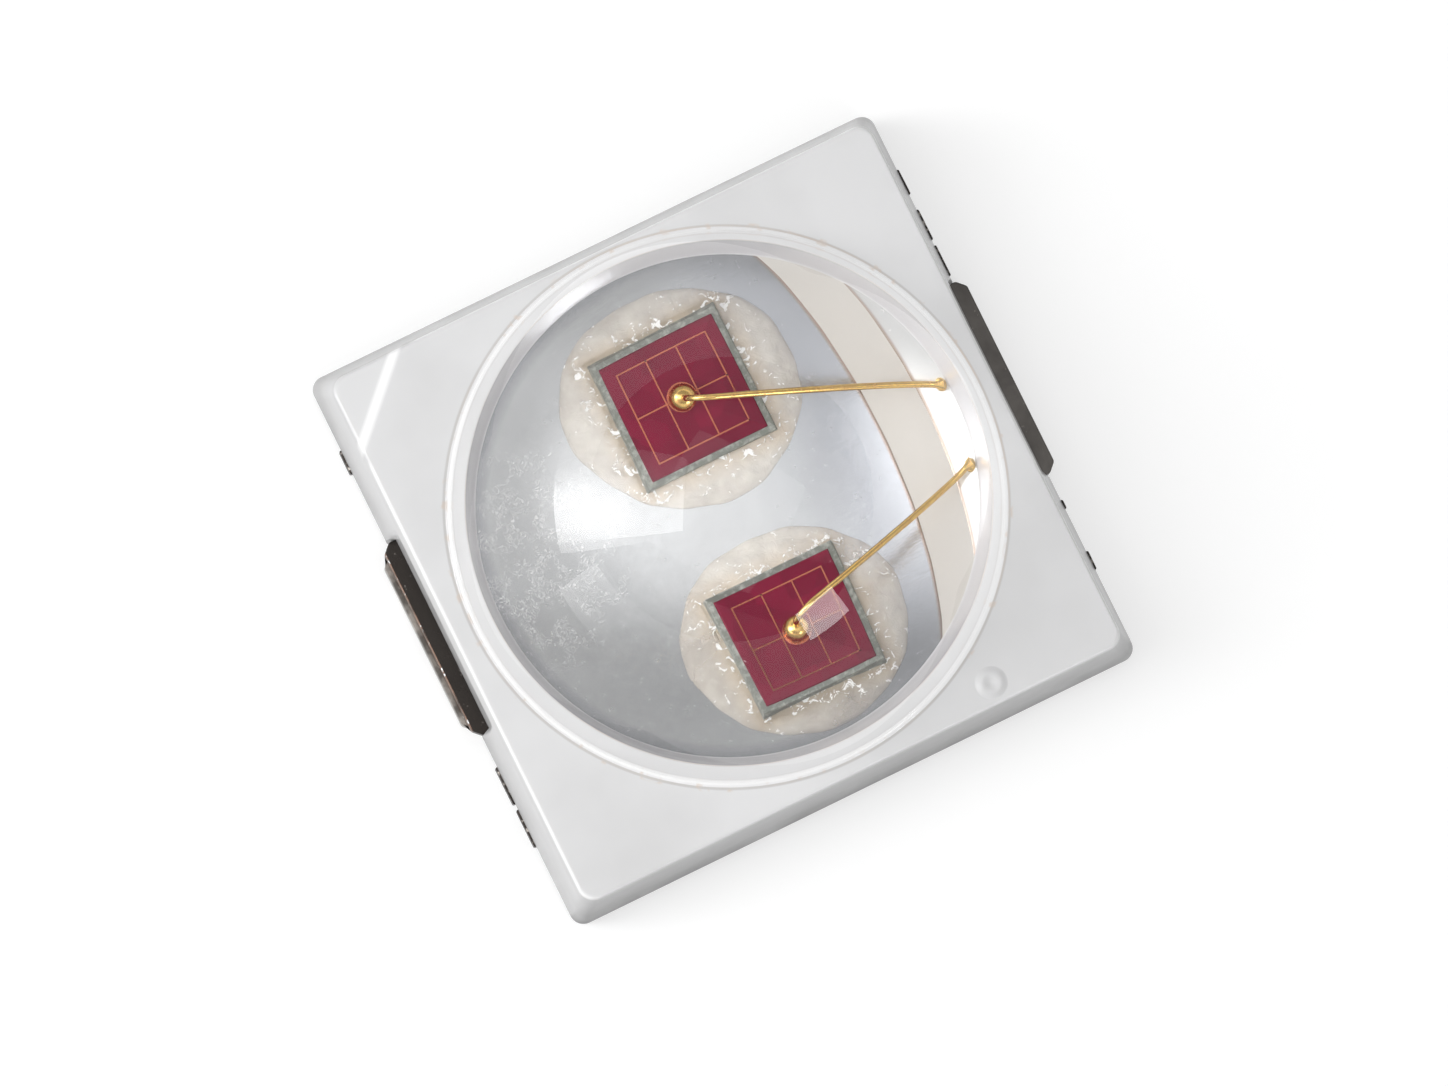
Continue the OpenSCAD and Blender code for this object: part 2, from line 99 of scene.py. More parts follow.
class HousingSizes(bpy.types.PropertyGroup):
    """Sizes of the moulded housing"""
    body_height: length("Body height", "Height of the top face above the solder faces", 0.6)
    wall_draft: lean("Wall draft", "Lean of the walls above the parting line", 11)
    foot_draft: lean("Foot draft", "Lean of the walls below the parting line", 4)
    corner_radius: length("Corner radius", "Radius of the upright corners at the parting line", 0.08)
    top_corner_radius: length("Top corner radius", "Radius of the corners of the top face", 0.095)
    edge_radius: length("Edge radius", "Radius of the edge round the top face", 0.02)
    polarity_leg: length("Polarity leg", "Leg of the polarity facet on the top face", 0.48)
    polarity_drop: length("Polarity drop", "Drop of the polarity facet at its corner", 0.05)
    polarity_step: length("Polarity step", "Height of the short step at the facet's start", 0.027)
    polarity_step_width: length("Polarity step width", "Half width of that step", 0.025)
    polarity_shift: length("Polarity shift", "Distance of that step past the facet's hinge line", 0.052)
    gate_radius: length("Gate radius", "Radius of the gate mark", 0.1)
    gate_height: length("Gate height", "Height of the gate mark", 0.012)
    gate_place: length("Gate place", "Distance of the gate mark from the end wall", 0.85)
    cup_floor_radius: length("Cup floor radius", "Radius of the cup at its floor", 1.0)
    cup_top_radius: length("Cup top radius", "Radius of the cup at the top face", 1.3)
    pocket: length("Tab pocket", "Depth of the upright pocket in the wall above a tab", 0.055)
    set_back: length("Set back", "Depth of the plastic behind the faces of the leads", 0.002)


class LeadSizes(bpy.types.PropertyGroup):
    """Sizes of the two leads"""
    step_height: length("Step height", "Depth of the half-etched step under the leads", 0.1)
    step_width: length("Step width", "Width of the half-etched step", 0.1)
    plate_end: length("Plate end", "Distance from the middle to the end of the plates", 1.49)
    corner_radius: length("Corner radius", "Radius of the plates' corners", 0.12)
    tab_width: length("Tab width", "Width of the cut tabs", 1.2)
    gap: length("Gap", "Gap between the two leads", 0.19)
    gap_radius: length("Gap radius", "Radius of the bowed middle line of the gap", 3.6)
    cathode_tab_place: length("Cathode tab place", "Place of the cathode's tab across the leads", 0.1)
    anode_tab_place: length("Anode tab place", "Place of the anode's tab across the leads", 0.03)
    tab_step_length: length("Tab step length", "Length of the cutting step of the cathode's tab", 0.026)
    tab_step_height: length("Tab step height", "Height of that cutting step", 0.08)
    tab_chamfer: length("Tab chamfer", "Chamfer of the tabs' outer corners", 0.05)
    tab_notch: length("Tab notch", "Notch at each end of that tab below its step", 0.06)
    edge: length("Edge", "Width of the worn edges", 0.006)


class ChipSizes(bpy.types.PropertyGroup):
    """Sizes of the chips and their contacts"""
    edge: length("Edge", "Bevel of the chips' edges", 0.006)
    line_width: length("Line width", "Width of the contact lines", 0.006)
    line_rise: length("Line rise", "Height of the contact lines above the red layer", 0.0015)
    frame_inset: length("Frame inset", "Distance of the contact frame from the red layer's edge", 0.05)
    pad_diameter: length("Pad diameter", "Diameter of the bond pad", 0.116)


class AdhesiveSizes(bpy.types.PropertyGroup):
    """Sizes of the adhesive pools"""
    upper_length: length("Upper length", "Length of the upper pool", 0.9)
    upper_width: length("Upper width", "Width of the upper pool", 0.82)
    lower_length: length("Lower length", "Length of the lower pool", 0.87)
    lower_width: length("Lower width", "Width of the lower pool", 0.84)
    turn: lean("Turn", "Direction of the pools' length", -26)
    height: length("Height", "Height that a pool's crown would reach", 0.09)
    wave: length("Wave", "Unevenness of the pools' edge", 0.008)
    wrinkle: length("Wrinkle", "Depth of the wrinkles in the skin", 0.005)


class WireSizes(bpy.types.PropertyGroup):
    """Sizes of the bond wires"""
    diameter: length("Diameter", "Diameter of the wire", 0.026)
    ball_diameter: length("Ball diameter", "Diameter of the ball on the chip", 0.108)
    ball_height: length("Ball height", "Height of the ball", 0.086)
    rise: length("Rise", "Straight rise above the ball", 0.05)
    loop_radius: length("Loop radius", "Bend radius at the top of the loop", 0.09)
    landing_radius: length("Landing radius", "Bend radius where the wire lands", 0.25)
    stitch_length: length("Stitch length", "Length of the flattened stitch", 0.024)


class LensSizes(bpy.types.PropertyGroup):
    """Sizes of the lens"""
    dome_radius: length("Dome radius", "Radius of the dome where it leaves the foot ring", 1.545)
    foot_thickness: length("Foot thickness", "Thickness of the foot ring", 0.02)
    foot_edge: length("Foot edge", "Radius of the foot ring's upper edge", 0.008)
    foot_fillet: length("Foot fillet", "Radius of the fillet between foot ring and dome", 0.018)
    sink: length("Sink", "Depth to which the casting is keyed into what it covers", 0.005)


class Finishes(bpy.types.PropertyGroup):
    """Colours of the finishes"""
    moulding: tint("Moulding", "White moulding compound", (0.74, 0.74, 0.745))
    # Also the painted shade on the lower walls, darkest on the front wall
    moulding_grey_and_painted_shade: tint("Moulding shade", "Greyer patches of the moulding", (0.37, 0.365, 0.36))
    # Painted highlight on the ring under the lens's edge, the polarity crease and the rounded upper edge
    moulding_painted_highlight: tint("Moulding bright", "Bright ring, crease and upper edge", (0.98, 0.98, 0.98))
    # Painted shade on the cup's wall
    cup_painted_shade: tint("Cup skin", "Duller skin of the cup's wall", (0.50, 0.485, 0.50))
    gap_white: tint("Gap white", "Moulding in the gap between the leads", (0.59, 0.56, 0.52))
    # Painted shade along the foot of the walls
    foot_painted_shade: tint("Moulding grime", "Grey line along the foot of the walls", (0.30, 0.30, 0.31))
    flow_line: tint("Flow line", "Beige line where the silicone ends", (0.66, 0.56, 0.48))
    silver: tint("Silver", "Bright plating", (0.74, 0.75, 0.76))
    silver_shade: tint("Silver shade", "Duller plating", (0.58, 0.585, 0.595))
    anode_silver: tint("Anode silver", "Pale matt plating of the anode", (0.74, 0.74, 0.735))
    # Painted shade on the plating along the gap and near the cup's wall
    silver_painted_shade: tint("Silver band", "Darker plating along the gap and the cup's wall", (0.38, 0.39, 0.42))
    silver_hair: tint("Silver hair", "Pale scratches on the cathode's pad", (0.95, 0.95, 0.95))
    cut_metal: tint("Cut metal", "Dark sheared metal", (0.024, 0.019, 0.016))
    cut_glint: tint("Cut glint", "Brighter grains of the sheared metal", (0.36, 0.33, 0.30))
    adhesive: tint("Adhesive", "Cream adhesive", (0.97, 0.91, 0.81))
    adhesive_fillet: tint("Adhesive fillet", "Tan adhesive that climbs the chips", (0.90, 0.72, 0.52))
    adhesive_shade: tint("Adhesive shade", "Thin adhesive", (0.90, 0.77, 0.63))
    # Painted glints on the crests of the adhesive's wrinkles
    adhesive_painted_glint: tint("Adhesive crest", "White glint of the wrinkles", (0.95, 0.94, 0.92))
    carrier: tint("Carrier", "Grey-green carrier die", (0.20, 0.21, 0.185))
    carrier_edge: tint("Carrier edge", "Bright edge of the carrier die", (0.52, 0.52, 0.48))
    red_layer: tint("Red layer", "Raspberry red layer", (0.20, 0.007, 0.033))
    red_shade: tint("Red shade", "Darker cells of the red layer", (0.15, 0.005, 0.025))
    red_chip: tint("Red chip", "Bright chips in the red layer", (0.78, 0.60, 0.62))
    gold: tint("Gold", "Gold of wires and balls", (0.86, 0.60, 0.20))
    tarnish: tint("Tarnish", "Brown line along the edges of the leads", (0.36, 0.25, 0.18))
    ridge: tint("Ridge", "Brown line along the cathode tab's step", (0.17, 0.10, 0.07))
    copper: tint("Copper", "Copper of the contact lines", (0.46, 0.15, 0.09))


class DiodeSettings(bpy.types.PropertyGroup):
    """All sizes and colours of the diode"""
    housing: PointerProperty(type=HousingSizes)
    leads: PointerProperty(type=LeadSizes)
    chips: PointerProperty(type=ChipSizes)
    adhesive: PointerProperty(type=AdhesiveSizes)
    wires: PointerProperty(type=WireSizes)
    lens: PointerProperty(type=LensSizes)
    finishes: PointerProperty(type=Finishes)


# Surfaces as whole arrays

def ring_faces(rows, columns):
    """Faces between the rings of a stack: each joins a point, its neighbour round the ring and the same
    two on the next ring."""
    here = np.arange(columns)
    after = np.roll(here, -1)
    base = np.arange(rows - 1)[:, None] * columns
    sides = np.stack([base + here, base + after, base + columns + after, base + columns + here], -1)
    return sides.reshape(-1, 4).tolist()


def closed_skin(rings, first, last):
    """Closed skin over a stack of rings, an array of rows by columns by 3: the faces between the rings,
    and a fan at each end that closes on a point. Rings that turn anticlockwise and climb give faces that
    point outwards."""
    rows, columns = rings.shape[:2]
    here = np.arange(columns)
    after = np.roll(here, -1)
    top = (rows - 1) * columns
    start_fan = np.stack([np.full(columns, rows * columns), after, here], -1)
    end_fan = np.stack([np.full(columns, rows * columns + 1), top + here, top + after], -1)
    points = np.concatenate([rings.reshape(-1, 3), [first, last]])
    return points, ring_faces(rows, columns) + start_fan.tolist() + end_fan.tolist()


def joined(*skins):
    """Several skins as one: each skin's face numbers move up by the points that come before it."""
    points, faces, before = [], [], 0
    for skin_points, skin_faces in skins:
        points.append(skin_points)
        faces.extend([[number + before for number in face] for face in skin_faces])
        before += len(skin_points)
    return np.concatenate(points), faces


def raised(flat, height):
    """Points of a plane with a height, or one height each, as their third coordinate."""
    return np.concatenate([flat, np.broadcast_to(height, flat.shape[:-1])[..., None]], -1)


def turned(radius, height, middle, columns):
    """Rings of a profile turned about an upright axis: at each angle a point is the middle plus its
    radius times the cosine and sine, at its height."""
    angle = np.linspace(0, 2 * np.pi, columns, endpoint=False)
    circle = np.stack([np.cos(angle), np.sin(angle)], -1)
    return raised(middle + radius[:, None, None] * circle, height[:, None])


def lathe(radius, height, middle, columns):
    """Closed skin of a turned profile, whose first and last radius are poles."""
    rings = turned(radius, height, middle, columns)
    return closed_skin(rings[1:-1], (*middle, height[0]), (*middle, height[-1]))


def arc(x, y, radius, start, stop, steps):
    """Points of an arc, as centre plus radius times cosine and sine between two angles in degrees."""
    angle = np.radians(np.linspace(start, stop, steps))
    return np.stack([x + radius * np.cos(angle), y + radius * np.sin(angle)], -1)


def rounded_outline(corners, radii, steps):
    """Closed outline with its corners rounded: at each corner a parabola runs from a point one
    radius before it to a point one radius after it, with the corner as its control point."""
    corners = np.asarray(corners, float)
    radii = np.asarray(radii, float)[:, None]
    before = np.roll(corners, 1, 0) - corners
    after = np.roll(corners, -1, 0) - corners
    before *= radii / np.linalg.norm(before, axis=1, keepdims=True)
    after *= radii / np.linalg.norm(after, axis=1, keepdims=True)
    share = np.linspace(0, 1, steps)[None, :, None]
    curve = corners[:, None] + (1 - share) ** 2 * before[:, None] + share**2 * after[:, None]
    return curve.reshape(-1, 2)


def pulled_in(outline, inset):
    """An anticlockwise outline moved inwards: each point goes against the mean of its two edges'
    outward normals, by the inset over the cosine of half the turn there."""
    ahead = np.roll(outline, -1, 0) - outline
    ahead /= np.linalg.norm(ahead, axis=1, keepdims=True) + 1e-12
    behind = np.roll(ahead, 1, 0)
    mean = ahead + behind
    mean /= np.linalg.norm(mean, axis=1, keepdims=True)
    outward = np.stack([mean[:, 1], -mean[:, 0]], -1)
    stretch = np.sqrt(np.clip((1 + (ahead * behind).sum(1)) / 2, 0.3, 1))
    return outline - outward * (inset / stretch)[:, None]


def stacked(outlines, heights):
    """Rings made of outlines, each at its own height or heights."""
    return np.stack([raised(outline, height) for outline, height in zip(outlines, heights)])


def ripples(points, shortest, longest, seed):
    """Uneven height over points of a plane, between about -1 and 1: the mean of twenty sine waves
    whose directions, phases and lengths are drawn from a seeded table."""
    dice = np.random.default_rng(seed)
    direction = dice.uniform(0, 2 * np.pi, 20)
    wave = 2 * np.pi / dice.uniform(shortest, longest, 20)
    phase = dice.uniform(0, 2 * np.pi, 20)
    along = points[..., 0, None] * np.cos(direction) + points[..., 1, None] * np.sin(direction)
    return np.sin(along * wave + phase).mean(-1) * 2.5


def add_mesh(name, skin, finish):
    """Puts a skin into a new object with a smooth mesh and a finish."""
    points, faces = skin
    mesh = bpy.data.meshes.new(name)
    mesh.from_pydata(points.tolist(), [], faces)
    mesh.update()
    mesh.polygons.foreach_set("use_smooth", np.ones(len(mesh.polygons), bool))
    mesh.materials.append(finish)
    made = bpy.data.objects.new(name, mesh)
    bpy.context.scene.collection.objects.link(made)
    return made


def add_piece(name, skin, finish, node, crease=None):
    """Seats a skin in the frame in place of the node that it stands for. Edges sharper than the crease,
    an angle in degrees, are left sharp."""
    piece = add_mesh(name, skin, finish)
    if crease is not None:
        piece.data.set_sharp_from_angle(angle=math.radians(crease))
    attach(piece, "root")
    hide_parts(node)


# Finishes

# Places on the piece in millimetres: the ring of painted highlight and the end of the silicone, as radii
# about the optic axis, and the side on which that end is stained, away from which the ring's painted
# highlight is stronger; the direction of the polarity corner; the edge above the front wall; the start of the
# bare metal on the tabs, the ridge on the cathode's tab, the middle of the scratched patch on its pad, and
# the parting line
HIGHLIGHT_RING = 1.52
FOOT_EDGE = 1.575
LINE_SIDE = (0.95, 0.32, 0.0)
POLARITY_SIDE = (-math.sqrt(0.5), math.sqrt(0.5), 0.0)
FRONT_EDGE = -1.63
TAB_START = 1.69
RIDGE = 1.786
HAIRS = (-0.8, 0.2, 0.2)
PARTING = LEAD_TOP / MM

# White, the share of a lamp's light that the silicone lets straight through, and the grey of the floor
# as a lamp lights it and as it lights the object
WHITE = (1.0, 1.0, 1.0, 1.0)
SILICONE_PASS = 0.8
PAPER = (0.5, 0.5, 0.5)
PAPER_BOUNCE = (0.25, 0.25, 0.25)


class Board:
    """The node board of a material, lamp or world: adds nodes, and sets or links their sockets."""

    def __init__(self, owner):
        owner.use_nodes = True
        self.owner = owner
        self.tree = owner.node_tree
        self.tree.nodes.clear()

    def node(self, kind, sockets=None, **options):
        """A node of a kind, with its options set and its sockets given a value or a link."""
        made = self.tree.nodes.new("ShaderNode" + kind)
        for option, value in options.items():
            setattr(made, option, value)
        for key, value in (sockets or {}).items():
            if isinstance(value, bpy.types.NodeSocket):
                self.tree.links.new(value, made.inputs[key])
            else:
                made.inputs[key].default_value = value
        return made

    def add(self, kind, sockets=None, output=0, **options):
        """One output of a new node."""
        return self.node(kind, sockets, **options).outputs[output]

    def place(self):
        """The point on the piece in millimetres."""
        where = self.add("TexCoord", output="Object")
        return self.add("Mapping", {"Vector": where, "Scale": (1000, 1000, 1000)})

    def level(self, where):
        """A point moved straight down to height zero."""
        return self.add("VectorMath", {0: where, 1: (1.0, 1.0, 0.0)}, operation="MULTIPLY")

    def parts(self, where):
        """The three coordinates of a point."""
        return tuple(self.node("SeparateXYZ", {0: where}).outputs)

    def measure(self, operation, where, vector):
        """A number from a point and a vector: their distance or their dot product."""
        return self.add("VectorMath", {0: where, 1: vector}, "Value", operation=operation)

    def noise(self, where, scale, detail=3.0, roughness=0.55, distortion=0.0):
        """Noise between 0 and 1, at a scale of waves per millimetre."""
        return self.add("TexNoise", {
            "Vector": where, "Scale": scale, "Detail": detail,
            "Roughness": roughness, "Distortion": distortion,
        })

    def spread(self, value, low, high, to_low=0.0, to_high=1.0, curve="LINEAR"):
        """A value moved from one range to another and held inside it."""
        return self.add("MapRange", {
            "Value": value, "From Min": low, "From Max": high, "To Min": to_low, "To Max": to_high,
        }, interpolation_type=curve)

    def chain(self, operation, first, *others):
        """Values put together by an arithmetic operation, one after the other."""
        for other in others:
            first = self.add("Math", {0: first, 1: other}, operation=operation)
        return first

    def times(self, *values):
        """The product of values."""
        return self.chain("MULTIPLY", *values)

    def most(self, *values):
        """The largest of values."""
        return self.chain("MAXIMUM", *values)

    def apart(self, value, middle):
        """How far a value lies from a middle, on either side."""
        return self.add("Math", {0: self.chain("SUBTRACT", value, middle)}, operation="ABSOLUTE")

    def line(self, value, middle, solid, edge, share=1.0):
        """A soft line along a middle value: its share out to solid, fading to nothing at the edge."""
        return self.spread(self.apart(value, middle), solid, edge, share, 0.0)

    def mix(self, share, first, second):
        """A colour between two others, each given as a colour or as a link."""
        first, second = (
            colour if isinstance(colour, bpy.types.NodeSocket) else (*colour, 1.0)
            for colour in (first, second)
        )
        return self.add("Mix", {0: share, 6: first, 7: second}, 2, data_type="RGBA")

    def bump(self, height, depth, strength=1.0, under=None):
        """A surface tilt from a height, where a height of 1 stands the depth in millimetres."""
        sockets = {"Strength": strength, "Distance": depth * MM, "Height": height}
        if under is not None:
            sockets["Normal"] = under
        return self.add("Bump", sockets)

    def end(self, kind, shader):
        """Links a shader to the output of a kind of board and gives back the board's owner."""
        self.node("Output" + kind, {"Surface": shader})
        return self.owner

    def surface(self, sockets):
        """Ends a material's board in one plain surface shader."""
        return self.end("Material", self.add("BsdfPrincipled", sockets))


def material_board(name):
    """The board of a new material, and the point on the piece in millimetres."""
    board = Board(bpy.data.materials.new(name))
    return board, board.place()


def moulding_finish(colours, sizes):
    """Glossy white moulding: faint grey clouds, a fine skin, soft stains with painted shade towards the
    parting line, most on the front wall, and thin beige lines with flecks at the cup's edge and where the
    silicone ends.
    The ring under the lens's edge, the rounded upper edge and the crease of the polarity facet carry painted
    highlights, the cup's wall painted shade, and the foot of the walls a band of painted shade."""
    board, place = material_board("white_moulding")
    cup_floor, cup_edge = sizes.cup_floor_radius / MM, sizes.cup_top_radius / MM
    top = sizes.body_height / MM
    _, across, height = board.parts(place)
    level = board.level(place)
    radius = board.measure("DISTANCE", level, (*OPTIC_MIDDLE / MM, 0.0))
    stained_side = board.measure("DOT_PRODUCT", level, LINE_SIDE)
    toward = board.measure("DOT_PRODUCT", place, POLARITY_SIDE)
    patchy = board.spread(board.noise(place, 3.0, 2.0), 0.35, 0.65, 0.2, 1.0)
    outside = board.spread(radius, FOOT_EDGE, FOOT_EDGE + 0.02)
    low = board.spread(height, top - 0.1, PARTING)
    on_top = board.spread(height, top - 0.1, top - 0.05, 0.0, 0.85)

    # Stains and painted shade towards the parting line, darkest on the front wall, and grey clouds
    front = board.spread(across, FRONT_EDGE + 0.02, FRONT_EDGE, 0.5, 1.0)
    stain_and_shade = board.times(low, board.spread(board.noise(place, 2.4, 3.0), 0.35, 0.65, 0.4, 1.0), front)
    clouds = board.spread(board.noise(place, 1.1, 3.0), 0.45, 0.75, 0.0, 0.2)
    white = board.mix(board.most(stain_and_shade, clouds), colours.moulding, colours.moulding_grey_and_painted_shade)

    # Painted shade on the wall of the cup
    cup_shade = board.spread(radius, cup_edge, cup_edge - 0.02, 0.0, 0.9)
    cup_shade = board.times(cup_shade, board.spread(height, PARTING, PARTING + 0.02))
    white = board.mix(cup_shade, white, colours.cup_painted_shade)

    # Painted highlights on the ring under the lens's edge, the crease and the rounded upper edge; the ring's
    # line
    # # is painted brighter on the side away from the stained one
    past_cup = board.spread(radius, cup_edge, cup_edge + 0.02, 0.0, 0.35)
    inside = board.times(past_cup, board.spread(radius, FOOT_EDGE, FOOT_EDGE - 0.01))
    clean_side = board.spread(stained_side, -0.7, 0.7, 1.0, 0.45)
    ring = board.most(inside, board.times(clean_side, board.line(radius, HIGHLIGHT_RING, 0.03, 0.05)))
    ring = board.times(ring, board.spread(low, 0.1, 0.0))
    crease = (polarity_hinge(sizes) + sizes.polarity_shift) / MM
    band = board.times(board.line(toward, crease, 0.016, 0.036), on_top)
    rim = board.times(
        board.spread(height, top, top - 0.006), board.spread(height, top - 0.035, top - 0.02), outside,
        board.spread(toward, crease - 0.06, crease - 0.1),
    )
    white = board.mix(board.most(band, rim, ring), white, colours.moulding_painted_highlight)

    # Painted shade at the foot of the walls, most on the front wall, and the web in the gap
    foot_shade = board.times(
        board.spread(height, PARTING + 0.16, PARTING + 0.003, 0.0, 0.8), patchy, outside, front,
        board.spread(height, 0.02, 0.08),
    )
    white = board.mix(foot_shade, white, colours.foot_painted_shade)
    in_gap = board.times(
        board.spread(radius, cup_floor + 0.02, cup_floor), board.spread(height, PARTING, PARTING - 0.001),
        board.spread(height, PARTING - 0.05, PARTING - 0.01),
    )
    white = board.mix(in_gap, white, colours.gap_white)

    # Grey and beige lines, and flecks
    outline = board.times(board.line(radius, FOOT_EDGE, 0.005, 0.013, 0.5), on_top)
    white = board.mix(outline, white, colours.moulding_grey_and_painted_shade)
    stained = board.spread(stained_side, -0.2, 0.7, 0.4, 1.0)
    foot_line = board.times(board.line(radius, FOOT_EDGE, 0.004, 0.01, 0.7), stained)
    lines = board.most(board.line(radius, cup_edge, 0.005, 0.011, 0.75), foot_line)
    flecks = board.spread(board.noise(place, 12.0, 2.0), 0.6, 0.68, 0.0, 0.7)
    flecks = board.times(flecks, board.line(radius, FOOT_EDGE, 0.012, 0.025))
    beige = board.times(board.most(board.times(lines, patchy), flecks), on_top)
    return board.surface({
        "Base Color": board.mix(beige, white, colours.flow_line),
        "Roughness": board.spread(board.noise(place, 5.0), 0.3, 0.7, 0.15, 0.25),
        "Normal": board.bump(board.noise(place, 14.0, 2.0), 0.0012, 0.35),
        "IOR": 1.52,
        "Specular IOR Level": board.spread(height, top - 0.1, top - 0.05, 0.15, 0.5),
    })


def lead_finish(colours, sizes):
    """Satin silver plating with painted shade along the gap and the cup's wall, soft clouds, fine scratches,
    pale hairs and grains, and a brown line along the edges at the gap; the anode is paler and matt. The cut
    tabs outside the body are dark sheared metal with brighter grains, the anode's a little greyer; the
    cathode's lower strip is blotchy grey, painted lighter as a reflection of the floor, and a brown line with
    painted glints runs along the edge of its step."""
    board, place = material_board("plated_lead")
    along, _, height = board.parts(place)
    clouds = board.noise(place, 2.2, 5.0, 0.6, 0.4)
    fine = board.noise(place, 26.0, 4.0, 0.7)

    # Plating of the pads
    cloud_share = board.spread(clouds, 0.3, 0.7, 0.0, 0.5)
    shade = board.chain("ADD", cloud_share, board.spread(fine, 0.3, 0.7, 0.0, 0.1))
    plating = board.mix(shade, colours.silver, colours.silver_shade)
    from_axis = board.measure("DISTANCE", place, (*OPTIC_MIDDLE / MM, PARTING))
    radius = board.measure("DISTANCE", board.level(place), (gap_middle(sizes) / MM, 0.0, 0.0))
    gap_radius, half_gap = sizes.gap_radius / MM, sizes.gap / 2 / MM
    inward = board.chain("SUBTRACT", gap_radius, radius)
    # Painted shade on the plating along the gap and near the cup's wall
    band = board.times(
        board.most(board.spread(inward, 0.65, 0.25), board.spread(from_axis, 0.92, 1.0)),
        board.spread(inward, 0.0, 0.05, 0.0, 0.85), board.spread(height, PARTING - 0.05, PARTING - 0.01),
    )
    plating = board.mix(band, plating, colours.silver_painted_shade)
    hairs = board.times(
        board.line(board.noise(place, 32.0, 2.0, 0.5, 2.5), 0.5, 0.01, 0.03, 0.85),
        board.spread(board.noise(place, 10.0, 2.0), 0.42, 0.54),
        board.spread(board.measure("DISTANCE", place, HAIRS), 0.6, 0.3),
    )
    plating = board.mix(hairs, plating, colours.silver_hair)
    on_anode = board.spread(inward, 0.0, -0.05)
    plating = board.mix(on_anode, plating, colours.anode_silver)
    edge_line = board.line(radius, gap_radius, half_gap + 0.008, half_gap + 0.02, 0.8)
    plating = board.mix(edge_line, plating, colours.tarnish)

    # Cut tabs
    reach = board.apart(along, 0.0)
    outside = board.spread(reach, TAB_START - 0.004, TAB_START + 0.004)
    left = board.spread(along, 0.1, -0.1)
    speckle = board.spread(board.noise(place, 24.0, 3.0), 0.66, 0.76, 0.0, 0.6)
    greyer = board.times(board.spread(clouds, 0.3, 0.7, 0.1, 0.38), board.spread(left, 0.0, 1.0, 1.0, 0.1))
    cut = board.mix(board.most(speckle, greyer), colours.cut_metal, colours.cut_glint)
    # The cathode's lower strip: blotchy grey, painted lighter as a reflection of the floor
    blotch = board.spread(board.noise(place, 13.0, 3.0), 0.38, 0.62, 0.3, 1.0)
    strip = board.mix(blotch, colours.cut_metal, colours.cut_glint)
    strip_top = PARTING - sizes.tab_step_height / MM
    cut = board.mix(board.times(left, board.spread(height, strip_top + 0.01, strip_top)), cut, strip)
    # Brown line along the ridge, with painted glints where the fine noise is high
    broken = board.spread(board.noise(place, 9.0, 2.0), 0.3, 0.55)
    ridge = board.times(board.line(reach, RIDGE, 0.003, 0.006, 0.9), broken, left)
    ridge_colour = board.mix(board.spread(fine, 0.58, 0.66), colours.ridge, colours.silver)
    cut = board.mix(ridge, cut, ridge_colour)

    # Relief and gloss
    scratch_place = board.add(
        "Mapping", {"Vector": place, "Rotation": (0.0, 0.0, 0.5), "Scale": (1.0, 12.0, 1.0)}
    )
    scratches = board.times(
        board.spread(board.noise(scratch_place, 9.0, 6.0, 0.75, 1.2), 0.4, 0.6, 0.0, 0.6),
        board.spread(board.noise(place, 1.7, 2.0), 0.45, 0.6),
    )
    grains = board.add("TexVoronoi", {"Vector": place, "Scale": 16.0}, "Distance")
    relief = board.chain("ADD", scratches, board.spread(grains, 0.0, 0.3, 0.25, 0.0))
    metal = board.times(
        board.spread(outside, 0.0, 1.0, 1.0, 0.7), board.spread(hairs, 0.0, 1.0, 1.0, 0.3),
        board.spread(on_anode, 0.0, 1.0, 1.0, 0.45),
    )
    return board.surface({
        "Base Color": board.mix(outside, plating, cut),
        "Metallic": metal,
        "Roughness": board.spread(fine, 0.3, 0.7, 0.2, 0.28),
        "Normal": board.bump(relief, 0.0008, 0.3, board.bump(fine, 0.0004, 0.12)),
    })


def cut_metal_finish(colours):
    """Dark sheared metal with shear lines and brighter grains."""
    board, place = material_board("cut_metal")
    shear_place = board.add("Mapping", {"Vector": place, "Scale": (1.0, 30.0, 4.0)})
    shear = board.noise(shear_place, 2.0, 4.0, 0.7)
    speckle = board.spread(board.noise(place, 34.0, 2.0), 0.58, 0.72)
    return board.surface({
        "Base Color": board.mix(speckle, colours.cut_metal, colours.cut_glint),
        "Metallic": 0.75,
        "Roughness": board.spread(shear, 0.3, 0.7, 0.28, 0.5),
        "Normal": board.bump(shear, 0.004, 0.6),
    })


def from_chips(board, place):
    """Distance in millimetres from the nearer chip's sides: the larger of the offsets along X and Y from
    the chip's middle, less half its side."""
    x, y, _ = board.parts(place)
    distances = []
    for side in CHIP_SIDES:
        low, high = corners_of(side + "_chip_carrier")
        middle = (low + high) / 2 / MM
        offset = board.most(board.apart(x, middle[0]), board.apart(y, middle[1]))
        distances.append(board.chain("SUBTRACT", offset, (high[0] - low[0]) / 2 / MM))
    return board.chain("MINIMUM", *distances)


